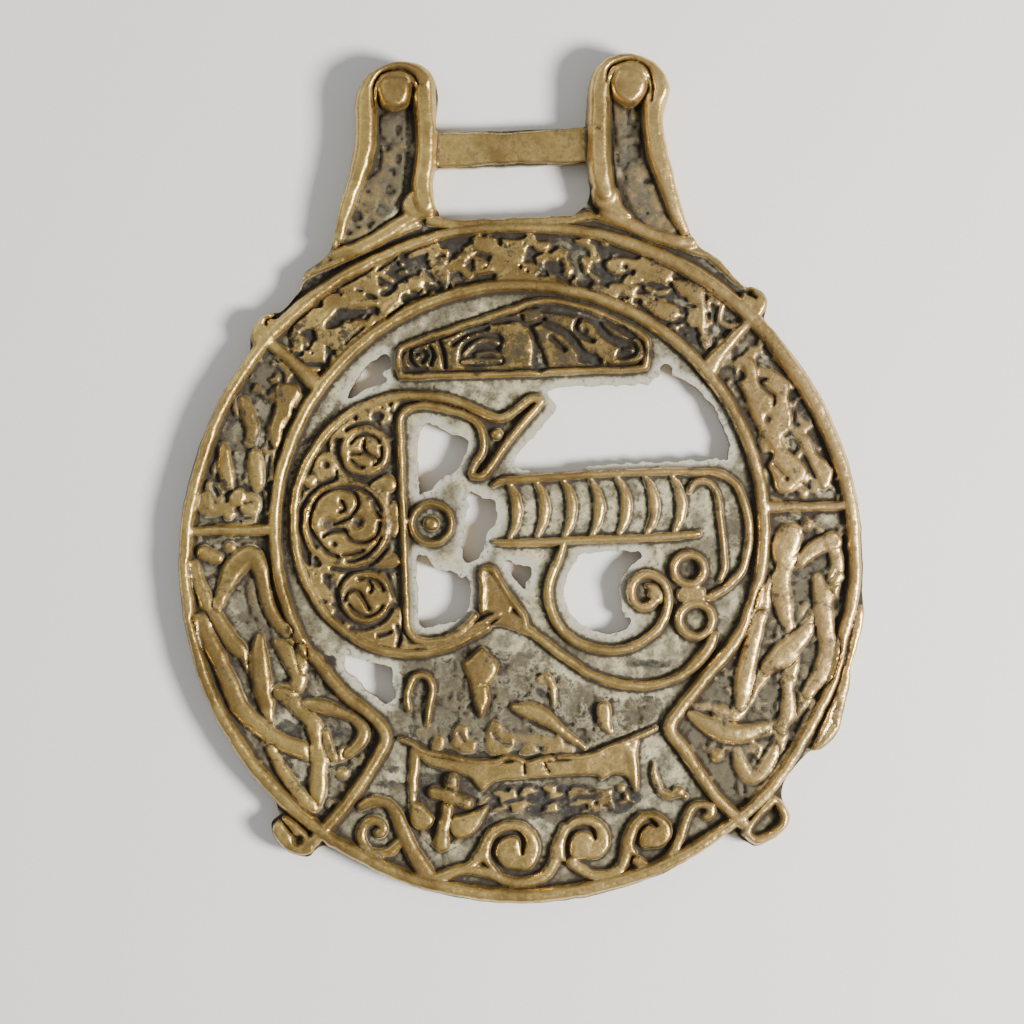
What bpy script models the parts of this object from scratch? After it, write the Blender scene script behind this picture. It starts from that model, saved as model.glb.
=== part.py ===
"""A cast brass harness ornament: a round pierced plaque with two horns that hold a strap.

It lies on its back. Plan points are written on a disc whose radius is 40 units, centred on
the disc, with +Y towards the horns, and plan() turns them into metres. A third number in a
point is a share of the band's width and rise there.
"""

import math

import bmesh
import bpy

# Driving sizes in metres
DISC_RADIUS = 0.040
PLATE_THICKNESS = 0.0022
EDGE_LIP = 0.0004

RIM_WIDTH = 0.0014
RIM_RISE = 0.0014
RING_WIDTH = 0.0014
RING_RISE = 0.0012
LOBE_RISE = 0.0013
BAND_WIDTH = 0.0010
BAND_RISE = 0.0010
BROAD_WIDTH = 0.0012
KNOT_WIDTH = 0.0017
KNOT_RISE = 0.0009
LOW_KNOT_RISE = 0.0008
FIGURE_WIDTH = 0.0014
FINE_WIDTH = 0.0009
FINE_RISE = 0.0006

SLOT_WIDTH = 0.0179
SLOT_HEIGHT = 0.0061
SLOT_CORNER = 0.0016
SLOT_MARGIN = 0.0002
CROSSBAR_WIDTH = 0.0041
CROSSBAR_RISE = 0.0008
HORN_HEIGHT = 0.0186
HORN_RIDGE_WIDTH = 0.0021
HORN_RIDGE_RISE = 0.0024
HORN_FLOOR_WIDTH = 0.0042
HORN_BOSS_RADIUS = 0.0022
HORN_BOSS_RISE = 0.0030

STROKE_COUNT = 7
STROKE_WIDTH = 0.0011
STROKE_RISE = 0.0006

# Shares and counts of the free form
PLAN_UNITS = 40.0
SLOT_SHIFT = 0.6
DISC_SIDES = 64
CROWN_SHARE = 0.55
EMBED = 0.0006
FOOT_SPREAD = 1.1
MITRE_LIMIT = 1.25
KNOB_SIDES = 7
BOSS_SIDES = 12
TURN_PER_STEP = math.radians(25)
SHARP_ANGLE = math.radians(40)

UNIT = DISC_RADIUS / PLAN_UNITS
CENTRE_Y = -HORN_HEIGHT / 2
DISC_TOP = CENTRE_Y + DISC_RADIUS
GROUND = PLATE_THICKNESS
SLOT_LEFT = SLOT_SHIFT * UNIT - SLOT_WIDTH / 2
SLOT_RIGHT = SLOT_SHIFT * UNIT + SLOT_WIDTH / 2
SLOT_BOTTOM = DISC_TOP + SLOT_MARGIN
SLOT_TOP = SLOT_BOTTOM + SLOT_HEIGHT
BAR_TOP = SLOT_TOP + CROSSBAR_WIDTH
CUT_TOP = GROUND + RIM_RISE + HORN_RIDGE_RISE + HORN_BOSS_RISE

BRASS_COLOUR = (0.42, 0.28, 0.10, 1.0)
BRASS_ROUGHNESS = 0.38
BRASS_METALLIC = 0.9

# Silhouettes, each with the metal on its left. The horns are given as a distance outward
# from the slot, in plan units, and a share of the horn's height.
LEFT_HORN = [(11.8, -0.07), (10.6, 0.05), (10.3, 0.17), (9.5, 0.38), (9.0, 0.60), (8.9, 0.74),
             (8.4, 0.86), (7.2, 0.95), (5.0, 1.0), (2.4, 0.995), (0.6, 0.93), (-0.3, 0.82),
             (-0.1, 0.70)]
RIGHT_HORN = [(11.2, -0.08), (10.3, 0.08), (9.4, 0.24), (8.9, 0.44), (8.8, 0.60), (9.4, 0.72),
              (9.3, 0.82), (8.4, 0.91), (6.2, 0.985), (4.0, 1.0), (1.8, 0.95), (0.5, 0.85),
              (0.1, 0.70)]
LEFT_SHOULDER = [(-22.2, 35.5), (-24.0, 34.0), (-24.8, 32.4), (-26.3, 31.0), (-27.4, 29.9)]
RIGHT_SHOULDER = [(27.1, 30.9), (25.3, 32.6), (23.6, 34.6), (22.2, 35.6)]
LEFT_KNOB = [(-28.3, 30.1), (-29.5, 29.4), (-30.3, 28.0), (-30.5, 26.4)]
RIGHT_KNOB = [(29.6, 27.4), (30.0, 29.2), (29.5, 30.4), (28.4, 31.0)]
LEFT_LOBE = [(-29.3, -28.2), (-30.2, -29.6), (-29.9, -31.1), (-28.7, -32.5), (-27.0, -33.3),
             (-25.5, -33.4), (-24.3, -32.2)]
RIGHT_LOBE = [(24.4, -32.9), (26.2, -34.1), (28.2, -33.3), (29.8, -32.2), (30.4, -30.8),
              (29.6, -29.2), (29.6, -27.6)]

# The rough stub of the casting gate: degrees round the disc, and how far it stands out
CASTING_STUB = [(-35, 0.8), (-32, 1.85), (-29, 1.95), (-25, 1.4), (-20, 0.95), (-15, 0.65),
                (-11, 0.35)]

# Pierced openings
OPENINGS = {
    "upper_left": [(-19.4, 19.9), (-17.4, 20.6), (-15.1, 21.7), (-14.3, 23.4), (-14.7, 24.8),
                   (-16.4, 23.8), (-18.4, 21.7)],
    "upper_right": [(0.1, 12.2), (1.0, 10.8), (3.3, 10.4), (10.0, 10.9), (20.0, 11.2),
                    (24.4, 11.3), (24.8, 13.2), (23.4, 16.9), (21.1, 19.9), (18.6, 21.3),
                    (17.6, 22.5), (16.7, 21.0), (14.6, 20.3), (4.7, 20.2), (4.4, 17.3)],
    "crescent_upper": [(-11.2, 15.3), (-10.5, 16.4), (-8.6, 15.9), (-5.8, 14.5), (-6.2, 12.1),
                       (-7.6, 10.6), (-9.6, 9.2), (-11.3, 8.6)],
    "middle": [(-5.6, 8.4), (-2.9, 7.3), (-2.6, 5.0), (-4.0, 3.2), (-4.5, 1.1), (-6.0, 0.2),
               (-6.6, 1.4), (-6.2, 5.5)],
    "crescent_lower": [(-12.0, 1.2), (-10.3, 0.5), (-8.0, -0.7), (-6.1, -1.2), (-5.8, -3.6),
                       (-6.9, -6.0), (-9.0, -6.9), (-11.9, -6.9)],
    "small": [(-1.9, 0.4), (-0.2, -0.2), (1.2, -0.9), (0.4, -3.2), (-1.1, -1.7)],
    "scroll": [(6.4, -0.2), (7.7, 0.8), (12.9, 0.8), (14.1, 0.1), (12.4, -1.3), (11.3, -3.2),
               (11.7, -5.8), (12.7, -7.4), (11.6, -8.4), (9.9, -8.6), (7.2, -7.8), (5.5, -5.9),
               (5.0, -3.4), (5.4, -1.8)],
    "lower_left": [(-20.9, -10.0), (-18.3, -10.8), (-15.5, -11.7), (-15.3, -14.6),
                   (-16.2, -15.9), (-18.6, -14.3), (-20.8, -11.8)],
}

# The inner ring's two ends, which run on as bands to the lower points
RING_END_LEFT = [(-22.2, -13.2), (-18.3, -17.2), (-16.7, -19.0), (-16.7, -20.6), (-18.5, -23.6),
                 (-22.5, -29.0), (-24.8, -31.6)]
RING_END_RIGHT = [(25.2, -31.6), (21.0, -26.9), (17.7, -21.6), (16.8, -20.2), (17.2, -18.8),
                  (20.3, -15.2), (23.9, -11.3)]
DIVIDERS = {
    "left": [(-38.7, 5.0), (-29.0, 5.0)],
    "right": [(29.0, 5.4), (38.7, 5.4)],
    "arch_left": [(-28.6, 26.4), (-25.9, 24.4), (-23.6, 22.2)],
    "arch_right": [(28.4, 27.5), (26.2, 25.5), (23.6, 22.2)],
}
PEDIMENT = [(-12.9, 22.1), (14.9, 22.1), (15.5, 25.5), (12.6, 27.3), (7.6, 29.4), (2.7, 30.1),
            (-3.2, 28.4), (-12.0, 25.8), (-13.1, 24.8)]

# Knotwork and beasts in the four side panels and the arch, as centre lines
KNOTS = {
    "lower_left": [
        [(-35.3, -3.8), (-34.2, -1.2, 1.2), (-32.8, 0.9, 1.3), (-31.2, 1.3, 1.2),
         (-30.3, -0.6, 1.1), (-29.6, -4.2), (-27.9, -6.6)],
        [(-37.6, 1.8, 0.6), (-37.3, -1.8), (-35.6, -5.4), (-33.7, -8.6), (-32.3, -9.8, 0.7)],
        [(-37.2, -5.6, 0.7), (-35.6, -10.0), (-34.0, -14.2), (-31.2, -18.0), (-28.4, -20.0),
         (-25.6, -21.0)],
        [(-31.0, -7.8, 0.6), (-30.9, -11.5, 1.2), (-30.2, -15.3), (-29.7, -17.0, 0.4)],
        [(-28.3, -8.4), (-26.6, -11.2), (-26.9, -13.9), (-28.8, -13.6, 0.7)],
        [(-28.4, -14.3, 0.7), (-25.6, -16.4), (-24.1, -20.0), (-24.5, -24.0), (-25.0, -27.6)],
        [(-24.6, -16.0, 0.6), (-21.6, -16.7, 0.7), (-19.3, -18.9, 0.7), (-20.4, -21.6, 0.6)],
        [(-29.6, -20.6, 0.7), (-27.6, -24.6), (-25.1, -27.8)],
    ],
    "lower_right": [
        [(31.4, 2.0, 1.6), (30.7, -0.6, 1.3), (30.4, -4.2), (30.9, -8.6)],
        [(32.6, -1.0, 0.7), (34.6, 0.5, 1.1), (36.7, 1.6, 0.8)],
        [(34.9, -3.4), (35.3, -8.0), (35.4, -12.0), (33.4, -15.8, 0.8)],
        [(33.6, -8.7), (31.0, -11.0), (28.5, -12.8)],
        [(27.3, -7.6), (26.2, -12.0), (24.9, -17.3)],
        [(30.6, -15.0), (30.7, -17.5), (30.1, -20.5, 0.8)],
        [(19.5, -18.9, 0.7), (22.0, -20.5, 1.3), (25.4, -20.9, 1.3), (28.4, -19.9, 0.5)],
        [(24.6, -22.8, 0.7), (25.2, -25.4), (26.8, -26.0), (29.2, -22.8, 0.7)],
    ],
    "upper_left": [
        [(-37.0, 8.6, 0.7), (-36.0, 7.3, 0.7), (-34.8, 8.6, 0.7)],
        [(-33.6, 16.9, 0.7), (-33.9, 13.2), (-33.5, 10.0)],
        [(-31.4, 19.8, 0.7), (-30.9, 16.4, 0.8), (-30.5, 13.2, 1.1), (-30.3, 10.2, 1.1)],
        [(-33.2, 9.3), (-31.6, 8.8), (-30.7, 7.0, 0.8)],
        [(-26.6, 21.2, 1.4), (-27.8, 18.0, 0.9), (-28.5, 15.0, 0.7)],
    ],
    "upper_right": [
        [(27.8, 22.6, 0.7), (28.2, 19.0, 1.3), (30.0, 16.0, 1.7), (30.9, 12.6, 1.3),
         (32.3, 10.0, 1.3), (31.6, 7.7, 0.8), (30.2, 8.4, 0.6)],
        [(30.2, 21.6), (31.6, 18.6, 0.9)],
        [(33.0, 14.3, 0.7), (34.6, 11.0, 0.9), (35.6, 7.8, 0.8)],
    ],
    "arch": [
        [(-20.6, 30.2, 0.8), (-22.3, 28.2), (-22.4, 25.7), (-20.6, 25.4, 0.7)],
        [(-20.0, 30.1, 0.6), (-17.6, 31.0, 0.7), (-15.4, 30.4, 0.6)],
        [(-14.6, 29.4, 0.7), (-12.8, 32.2), (-10.2, 33.0, 0.7)],
        [(-12.6, 36.0, 0.7), (-9.6, 35.6, 0.9), (-8.6, 34.0, 0.6)],
        [(-4.4, 37.2, 0.7), (-1.6, 37.0), (1.2, 35.4), (3.4, 33.9, 0.7)],
        [(-4.8, 34.0, 0.7), (-2.4, 34.5, 0.7)],
        [(2.4, 36.8, 0.7), (5.2, 36.2, 0.8), (6.8, 33.8, 0.7)],
        [(11.2, 34.2, 0.8), (14.6, 34.8), (18.0, 32.8), (20.6, 30.4, 0.7)],
        [(11.2, 31.7, 0.8), (14.2, 31.3, 0.7)],
        [(17.2, 29.4, 0.7), (20.6, 28.0, 0.8), (22.2, 25.0, 0.6)],
    ],
    "pediment": [
        [(-11.4, 24.9, 0.5), (-9.8, 24.9, 0.5), (-9.9, 23.5, 0.5), (-11.4, 23.5, 0.5)],
        [(-7.8, 25.9, 0.5), (-7.0, 23.2, 0.7)],
        [(-5.2, 25.6, 0.5), (-2.0, 26.2, 0.6), (0.3, 24.6, 0.9), (-0.2, 23.0, 0.6)],
        [(1.5, 28.2, 0.6), (3.6, 28.9, 0.6)],
        [(3.2, 26.6, 0.6), (4.8, 24.9, 0.6), (5.4, 23.2, 0.5)],
        [(6.0, 27.3, 0.6), (8.6, 25.6, 0.7), (11.6, 24.6, 0.5)],
        [(10.8, 26.9, 0.5), (13.4, 25.8, 0.6)],
    ],
}

# Small round knobs: centre, radius in plan units
KNOBS = [
    ((-5.7, 35.6), 0.75), ((9.0, 34.4), 0.6), ((-33.8, 6.8), 0.8), ((-33.8, 3.0), 0.8),
    ((33.4, 3.3), 0.8), ((33.2, 6.9), 0.9), ((-21.5, -23.9), 0.8), ((22.3, -23.4), 0.9),
    ((22.7, -18.0), 0.9), ((-15.1, 9.6), 0.8), ((-2.3, 14.9), 0.8), ((-24.0, 10.6), 0.8),
    ((2.3, -13.5), 0.8), ((3.3, -21.5), 1.0), ((16.3, -26.6), 1.0),
]

# The ship, the anchor and the figures on the open ground above the sea
GUNWALE = [(-14.8, -20.2, 0.8), (-12.0, -21.9, 1.1), (-6.0, -23.6, 1.3), (0.0, -24.2, 1.3),
           (6.0, -23.9, 1.3), (10.6, -23.0, 1.4), (15.0, -20.2, 0.8)]
STERN = [(12.0, -22.6, 1.3), (12.2, -24.6, 1.2), (12.5, -27.4, 0.7)]
BOW = [(-12.7, -22.0, 0.7), (-13.3, -25.0, 0.7), (-13.7, -28.5, 0.7)]
ANCHOR = {
    "shank": [(-9.1, -25.0, 1.0), (-9.7, -28.0, 0.9), (-10.4, -32.7, 0.9)],
    "stock": [(-11.4, -26.3, 1.0), (-9.4, -27.1, 1.1), (-7.2, -27.8, 0.9)],
    "arms": [(-13.1, -29.4, 0.9), (-12.0, -31.4, 0.7), (-10.3, -32.9, 0.8), (-8.2, -31.5, 0.8),
             (-5.9, -29.2, 0.9)],
    "left_fluke": [(-12.9, -27.4, 0.7), (-12.2, -29.5, 1.3)],
    "right_fluke": [(-5.9, -28.9, 0.8), (-8.2, -30.0, 1.3)],
}
HORSESHOE = [(-11.6, -18.4, 0.7), (-11.1, -15.8), (-10.9, -13.9), (-12.0, -12.8), (-13.2, -13.9),
             (-13.3, -16.4, 0.9)]
CLOAKED_FIGURE = [(-7.6, -11.6), (-5.0, -9.8), (-3.2, -11.8), (-4.0, -14.6), (-5.2, -18.3),
                  (-6.6, -15.0)]
WHALE = [(-1.2, -17.0, 0.8), (0.9, -17.7, 1.5), (3.4, -19.2, 1.1), (6.2, -21.4, 0.6)]
STANDING_STONE = [(9.1, -16.7, 0.9), (9.4, -18.4, 1.1), (9.6, -20.3, 0.7)]
SMALL_FIGURE = [(2.4, -13.9, 0.7), (3.3, -15.2, 0.6), (3.4, -17.0, 0.5)]

# The row of strokes between two rails
STROKE_ROW = {"left": -0.2, "right": 19.0, "top": 9.7, "bottom": 2.5, "bend": 0.8}


def clear_scene():
    for item in list(bpy.data.objects):
        bpy.data.objects.remove(item, do_unlink=True)


def plan(points):
    """Turn plan points, with or without a width share, into metres."""
    return [(p[0] * UNIT, p[1] * UNIT + CENTRE_Y, *p[2:]) for p in points]


def arc(centre, radius, start, end, steps, end_radius=None):
    """Points along an arc, or along a spiral that runs to another radius, in degrees."""
    points = []
    for i in range(steps + 1):
        share = i / steps
        reach = radius + ((end_radius or radius) - radius) * share
        angle = math.radians(start + (end - start) * share)
        points.append((centre[0] + reach * math.cos(angle), centre[1] + reach * math.sin(angle)))
    return points


def horn_points(inner_x, side, shape):
    """Turn a horn's silhouette into metres, from its slot's side."""
    points = [(inner_x + side * dx * UNIT, DISC_TOP + share * HORN_HEIGHT) for dx, share in shape]
    return points if side > 0 else points[::-1]


def bearing_change(first, second):
    """The unsigned angle between two plan directions."""
    turn = math.atan2(second[1], second[0]) - math.atan2(first[1], first[0])
    return abs((turn + math.pi) % (2 * math.pi) - math.pi)


def smooth(points, closed=False):
    """A curve through the points, with more steps where it turns more."""
    points = [p if len(p) == 3 else (p[0], p[1], 1.0) for p in points]
    count = len(points)
    path = []
    for i in range(count if closed else count - 1):
        here, there = points[i], points[(i + 1) % count]
        before = points[i - 1] if closed or i else here
        after = points[(i + 2) % count] if closed or i + 2 < count else there
        leave = [(there[k] - before[k]) / 2 for k in range(3)]
        arrive = [(after[k] - here[k]) / 2 for k in range(3)]
        chord = [there[k] - here[k] for k in range(3)]
        turn = bearing_change(leave, chord) + bearing_change(chord, arrive)
        steps = max(1, round(turn / TURN_PER_STEP))
        for step in range(steps):
            t = step / steps
            a = 2 * t ** 3 - 3 * t ** 2 + 1
            b = t ** 3 - 2 * t ** 2 + t
            d = t ** 3 - t ** 2
            path.append(tuple(a * here[k] + b * leave[k] + (1 - a) * there[k] + d * arrive[k]
                              for k in range(3)))
    if not closed:
        path.append(points[-1])
    return path


def side_normals(path, closed):
    """At each point of a path, the mitred vector to its left."""
    count = len(path)
    normals = []
    for i in range(count):
        before = path[i - 1] if closed or i else path[i]
        after = path[(i + 1) % count] if closed or i + 1 < count else path[i]
        legs = [(path[i][0] - before[0], path[i][1] - before[1]),
                (after[0] - path[i][0], after[1] - path[i][1])]
        legs = [(x / math.hypot(x, y), y / math.hypot(x, y)) for x, y in legs if (x, y) != (0, 0)]
        along = (sum(leg[0] for leg in legs), sum(leg[1] for leg in legs))
        length = math.hypot(*along)
        stretch = min(len(legs) / length, MITRE_LIMIT) / length
        normals.append((-along[1] * stretch, along[0] * stretch))
    return normals


def inset(points, distance):
    """The middles of a smooth open outline's edges, moved to its left."""
    path = smooth(points)
    middles = [((a[0] + b[0]) / 2, (a[1] + b[1]) / 2) for a, b in zip(path, path[1:])]
    return [(p[0] + n[0] * distance, p[1] + n[1] * distance)
            for p, n in zip(middles, side_normals(middles, False))]


def mesh_object(name, bm, collection):
    """Make an object of the bmesh, with its faces pointing out."""
    bmesh.ops.recalc_face_normals(bm, faces=bm.faces)
    mesh = bpy.data.meshes.new(name)
    bm.to_mesh(mesh)
    bm.free()
    mesh.shade_smooth()
    mesh.set_sharp_from_angle(angle=SHARP_ANGLE)
    item = bpy.data.objects.new(name, mesh)
    collection.objects.link(item)
    return item


def guide(item):
    """Mark a shape that is only joined into the casting or cut out of it."""
    item.hide_render = True
    item.display_type = "WIRE"
    return item


def skin(bm, rings, closed):
    """Join rings of vertices one to the next, and cap both ends of an open row."""
    pairs = list(zip(rings, rings[1:]))
    if closed:
        pairs.append((rings[-1], rings[0]))
    else:
        bm.faces.new(rings[0])
        bm.faces.new(rings[-1])
    sides = len(rings[0])
    for first, second in pairs:
        for k in range(sides):
            following = (k + 1) % sides
            bm.faces.new((first[k], first[following], second[following], second[k]))


def sweep(name, path, section, collection, closed=False):
    """Carry a section, as (offset to the left, height) pairs, along a path in metres."""
    bm = bmesh.new()
    rings = []
    for point, normal in zip(path, side_normals(path, closed)):
        share = point[2]
        rings.append([bm.verts.new((point[0] + normal[0] * offset * share,
                                    point[1] + normal[1] * offset * share,
                                    GROUND + max(height - GROUND, 0) * share
                                    + min(height - GROUND, 0)))
                      for offset, height in section])
    skin(bm, rings, closed)
    return guide(mesh_object(name, bm, collection))


def band_section(width, rise):
    """A raised band: sides that slope down into the plate, and a flat crown."""
    foot = width / 2
    crown = foot * CROWN_SHARE
    spread = (foot - crown) * EMBED / rise
    return [(-foot - spread, GROUND - EMBED), (foot + spread, GROUND - EMBED),
            (crown, GROUND + rise), (-crown, GROUND + rise)]


def edge_section(width, rise):
    """A band on the plate's edge: its outer wall, at offset 0, stands proud of the plate."""
    top = GROUND + rise
    slope = width * (1 - CROWN_SHARE) / 2
    return [(2 * EDGE_LIP, EDGE_LIP / 2), (0.0, 2 * EDGE_LIP), (0.0, top - slope), (slope, top),
            (width - slope, top), (width + slope / 2, GROUND - EMBED)]


def band(name, points, width, rise, collection, closed=False):
    """A raised band along smooth plan points."""
    return sweep(name, smooth(plan(points), closed), band_section(width, rise), collection, closed)


def pad(name, points, rise, collection):
    """A raised island with sloping sides, from its outline in plan units."""
    outline = smooth(plan(points), True)
    centre = [sum(p[k] for p in outline) / len(outline) for k in (0, 1)]
    bm = bmesh.new()
    rings = []
    for share, height in ((FOOT_SPREAD, GROUND - EMBED), (CROWN_SHARE, GROUND + rise)):
        rings.append([bm.verts.new((centre[0] + (p[0] - centre[0]) * share,
                                    centre[1] + (p[1] - centre[1]) * share, height))
                      for p in outline])
    skin(bm, rings, False)
    return guide(mesh_object(name, bm, collection))


def knob(name, centre, radius, rise, collection, sides=KNOB_SIDES):
    """A round knob whose top is narrower than its foot, its centre in metres."""
    bm = bmesh.new()
    bmesh.ops.create_cone(bm, cap_ends=True, segments=sides, radius1=radius * FOOT_SPREAD,
                          radius2=radius * CROWN_SHARE, depth=rise + EMBED)
    bmesh.ops.translate(bm, verts=bm.verts, vec=(*centre[:2], GROUND + (rise - EMBED) / 2))
    return guide(mesh_object(name, bm, collection))


def prism(name, outline, low, high, collection):
    """An upright prism on an outline in metres."""
    bm = bmesh.new()
    face = bm.faces.new([bm.verts.new((p[0], p[1], low)) for p in outline])
    grown = bmesh.ops.extrude_face_region(bm, geom=[face])
    lifted = [v for v in grown["geom"] if isinstance(v, bmesh.types.BMVert)]
    bmesh.ops.translate(bm, verts=lifted, vec=(0, 0, high - low))
    return mesh_object(name, bm, collection)


def plate(collection):
    """The flat web behind the relief, inside every edge band by the lip."""
    disc = PLAN_UNITS - EDGE_LIP / UNIT
    stub = [arc((0, 0), PLAN_UNITS + reach, angle, angle, 1)[0] for angle, reach in CASTING_STUB]
    left_horn = horn_points(SLOT_LEFT, -1, LEFT_HORN)
    right_horn = horn_points(SLOT_RIGHT, 1, RIGHT_HORN)
    outline = plan(arc((0, 0), disc, -126, -55, 12))
    outline += inset(plan(RIGHT_LOBE), EDGE_LIP)
    outline += plan(stub + arc((0, 0), disc, -6, 41, 9) + RIGHT_KNOB + RIGHT_SHOULDER)
    outline += inset(right_horn, EDGE_LIP)
    outline += [(SLOT_RIGHT + EDGE_LIP, BAR_TOP), (SLOT_LEFT - EDGE_LIP, BAR_TOP)]
    outline += inset(left_horn, EDGE_LIP)
    outline += plan(LEFT_SHOULDER + LEFT_KNOB + arc((0, 0), disc, 141, 222, 16))
    outline += inset(plan(LEFT_LOBE), EDGE_LIP)
    return prism("horse_brass", outline, 0.0, GROUND, collection)


def slot_cutter(collection):
    """The strap's slot between the disc, the horns and the crossbar."""
    corners = [((SLOT_RIGHT, SLOT_TOP), 0), ((SLOT_LEFT, SLOT_TOP), 90),
               ((SLOT_LEFT, SLOT_BOTTOM), 180), ((SLOT_RIGHT, SLOT_BOTTOM), 270)]
    outline = []
    for (x, y), start in corners:
        inward_x = SLOT_CORNER if x == SLOT_LEFT else -SLOT_CORNER
        inward_y = SLOT_CORNER if y == SLOT_BOTTOM else -SLOT_CORNER
        outline += arc((x + inward_x, y + inward_y), SLOT_CORNER, start, start + 90, 3)
    return guide(prism("cut_slot", outline, -EMBED, CUT_TOP, collection))


def opening_cutters(collection):
    """Every ragged opening through the web."""
    for name, points in OPENINGS.items():
        guide(prism("cut_" + name, plan(points), -EMBED, CUT_TOP, collection))


def rim_and_ring(relief):
    """The rim, the inner ring that runs on into the two lower points, and the dividers."""
    circle = [(*p, 1.0) for p in plan(arc((0, 0), PLAN_UNITS, 0, 360, DISC_SIDES)[:-1])]
    sweep("rim", circle, edge_section(RIM_WIDTH, RIM_RISE), relief, True)
    ring = [(*p, 1.0) for p in plan(arc((0, 3.8), 28.8, -28, 211, 42))]
    path = smooth(plan(RING_END_RIGHT)) + ring + smooth(plan(RING_END_LEFT))
    sweep("ring", path, band_section(RING_WIDTH, RING_RISE), relief)
    for name, points in DIVIDERS.items():
        band("divider_" + name, points, BAND_WIDTH, BAND_RISE, relief)
    path = [(*p, 1.0) for p in plan(PEDIMENT)]
    sweep("pediment", path, band_section(BAND_WIDTH, BAND_RISE), relief, True)


def lobes_and_shoulders(relief):
    """The knobs at the arch's ends, the lobes below and the bands under the horns."""
    for side, lobe in (("left", LEFT_LOBE), ("right", RIGHT_LOBE)):
        sweep("lobe_" + side, smooth(plan(lobe)), edge_section(RIM_WIDTH, LOBE_RISE), relief)
    pad("knob_left", [(-28.0, 29.7), (-29.4, 29.3), (-30.2, 27.9), (-29.6, 26.3), (-28.0, 27.2)],
        RIM_RISE, relief)
    pad("knob_right", [(28.4, 30.7), (29.4, 30.2), (29.7, 29.0), (28.9, 27.6), (27.4, 28.6)],
        RIM_RISE, relief)
    band("shoulder_left", [(-23.8, 33.2, 0.6), (-20.0, 35.7), (-11.5, 39.6)], BROAD_WIDTH,
         BAND_RISE, relief)
    band("shoulder_right", [(11.5, 39.4), (20.0, 35.9), (24.0, 33.2, 0.6)], BROAD_WIDTH,
         BAND_RISE, relief)


def horns(relief):
    """Both horns: a thick ridge round each, and the round boss under its hood."""
    crossbar = [(SLOT_LEFT - SLOT_CORNER, (SLOT_TOP + BAR_TOP) / 2, 1.0),
                (SLOT_RIGHT + SLOT_CORNER, (SLOT_TOP + BAR_TOP) / 2, 1.0)]
    flare = 1 + (1 - CROWN_SHARE) * EMBED / CROSSBAR_RISE
    crest = band_section((CROSSBAR_WIDTH - EDGE_LIP) / flare, CROSSBAR_RISE)
    sweep("crossbar", crossbar, crest, relief)
    for side, inner_x, shape, boss_at in ((-1, SLOT_LEFT, LEFT_HORN, (4.6, 0.80)),
                                          (1, SLOT_RIGHT, RIGHT_HORN, (5.1, 0.79))):
        silhouette = horn_points(inner_x, side, shape + [(0.0, 0.30), (0.0, 0.0)])
        shares = [0.45, 0.7] + [1.0] * (len(silhouette) - 4) + [0.9, 0.5]
        path = [(*p, share) for p, share in zip(silhouette, shares[::side])]
        name = "left" if side < 0 else "right"
        sweep("horn_" + name, smooth(path), edge_section(HORN_RIDGE_WIDTH, HORN_RIDGE_RISE), relief)
        floor = horn_points(inner_x, side, [(7.9, 0.02), (6.4, 0.25), (5.1, 0.50), (4.7, 0.70)])
        shares = (0.8, 1.0, 0.95, 0.8)
        floor = [(*p, share) for p, share in zip(floor, shares[::side])]
        sweep("horn_floor_" + name, smooth(floor), band_section(HORN_FLOOR_WIDTH, BAND_RISE), relief)
        centre = horn_points(inner_x, side, [boss_at])[0]
        knob("horn_boss_" + name, centre, HORN_BOSS_RADIUS, HORN_BOSS_RISE, relief, BOSS_SIDES)


def crescent(relief):
    """The crescent with its three roundels, the knot in its mouth and its two tips."""
    outer = [(2.5, 19.3), (-1.0, 16.5), (-4.4, 17.6), (-9.5, 19.8), (-15.0, 19.7), (-21.0, 16.7),
             (-24.6, 12.0), (-26.1, 5.0), (-24.9, -1.5), (-20.7, -7.3), (-15.0, -10.0),
             (-9.0, -9.7), (-4.2, -7.2)]
    band("crescent_outer", outer, BROAD_WIDTH, BAND_RISE, relief)
    inner = [(-5.4, 11.2), (-4.0, 14.4), (-5.8, 17.1), (-11.2, 18.3), (-13.5, 17.4), (-13.5, 13.0),
             (-13.5, -3.0), (-13.5, -7.6), (-12.2, -8.7), (-8.4, -8.1), (-5.5, -5.5), (-4.9, -0.8)]
    band("crescent_inner", inner, FINE_WIDTH, BAND_RISE, relief)
    band("upper_tip", [(2.8, 18.9), (-1.4, 13.6), (-4.6, 10.4)], FINE_WIDTH, BAND_RISE, relief)
    band("lower_tip", [(-4.6, -0.7), (-3.2, -1.1), (-1.0, -5.0), (0.5, -7.4)], FINE_WIDTH,
         BAND_RISE, relief)
    for name, centre, radius, turn in (("top", (-17.6, 13.8), 2.9, 430),
                                       ("low", (-18.2, -3.5), 3.1, 430)):
        points = arc(centre, radius - 0.4, 250, 250 - turn, 15, radius * 0.3)
        band("roundel_" + name, points, FINE_WIDTH, FINE_RISE, relief)
    band("roundel_middle", arc((-20.0, 5.3), 4.7, 0, 360, 18)[:-1], FINE_WIDTH, FINE_RISE, relief, True)
    for k in range(3):
        points = arc((-20.0, 5.3), 4.2, 90 + 120 * k, 330 + 120 * k, 7, 0.7)
        band(f"triskele_{k}", points, FINE_WIDTH, FINE_RISE, relief)
    band("mouth_ring", arc((-10.2, 4.9), 2.5, 0, 360, 12)[:-1], FINE_WIDTH, BAND_RISE, relief, True)
    knob("mouth_knob", plan([(-10.2, 4.9)])[0], FINE_WIDTH, BAND_RISE, relief)


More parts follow.
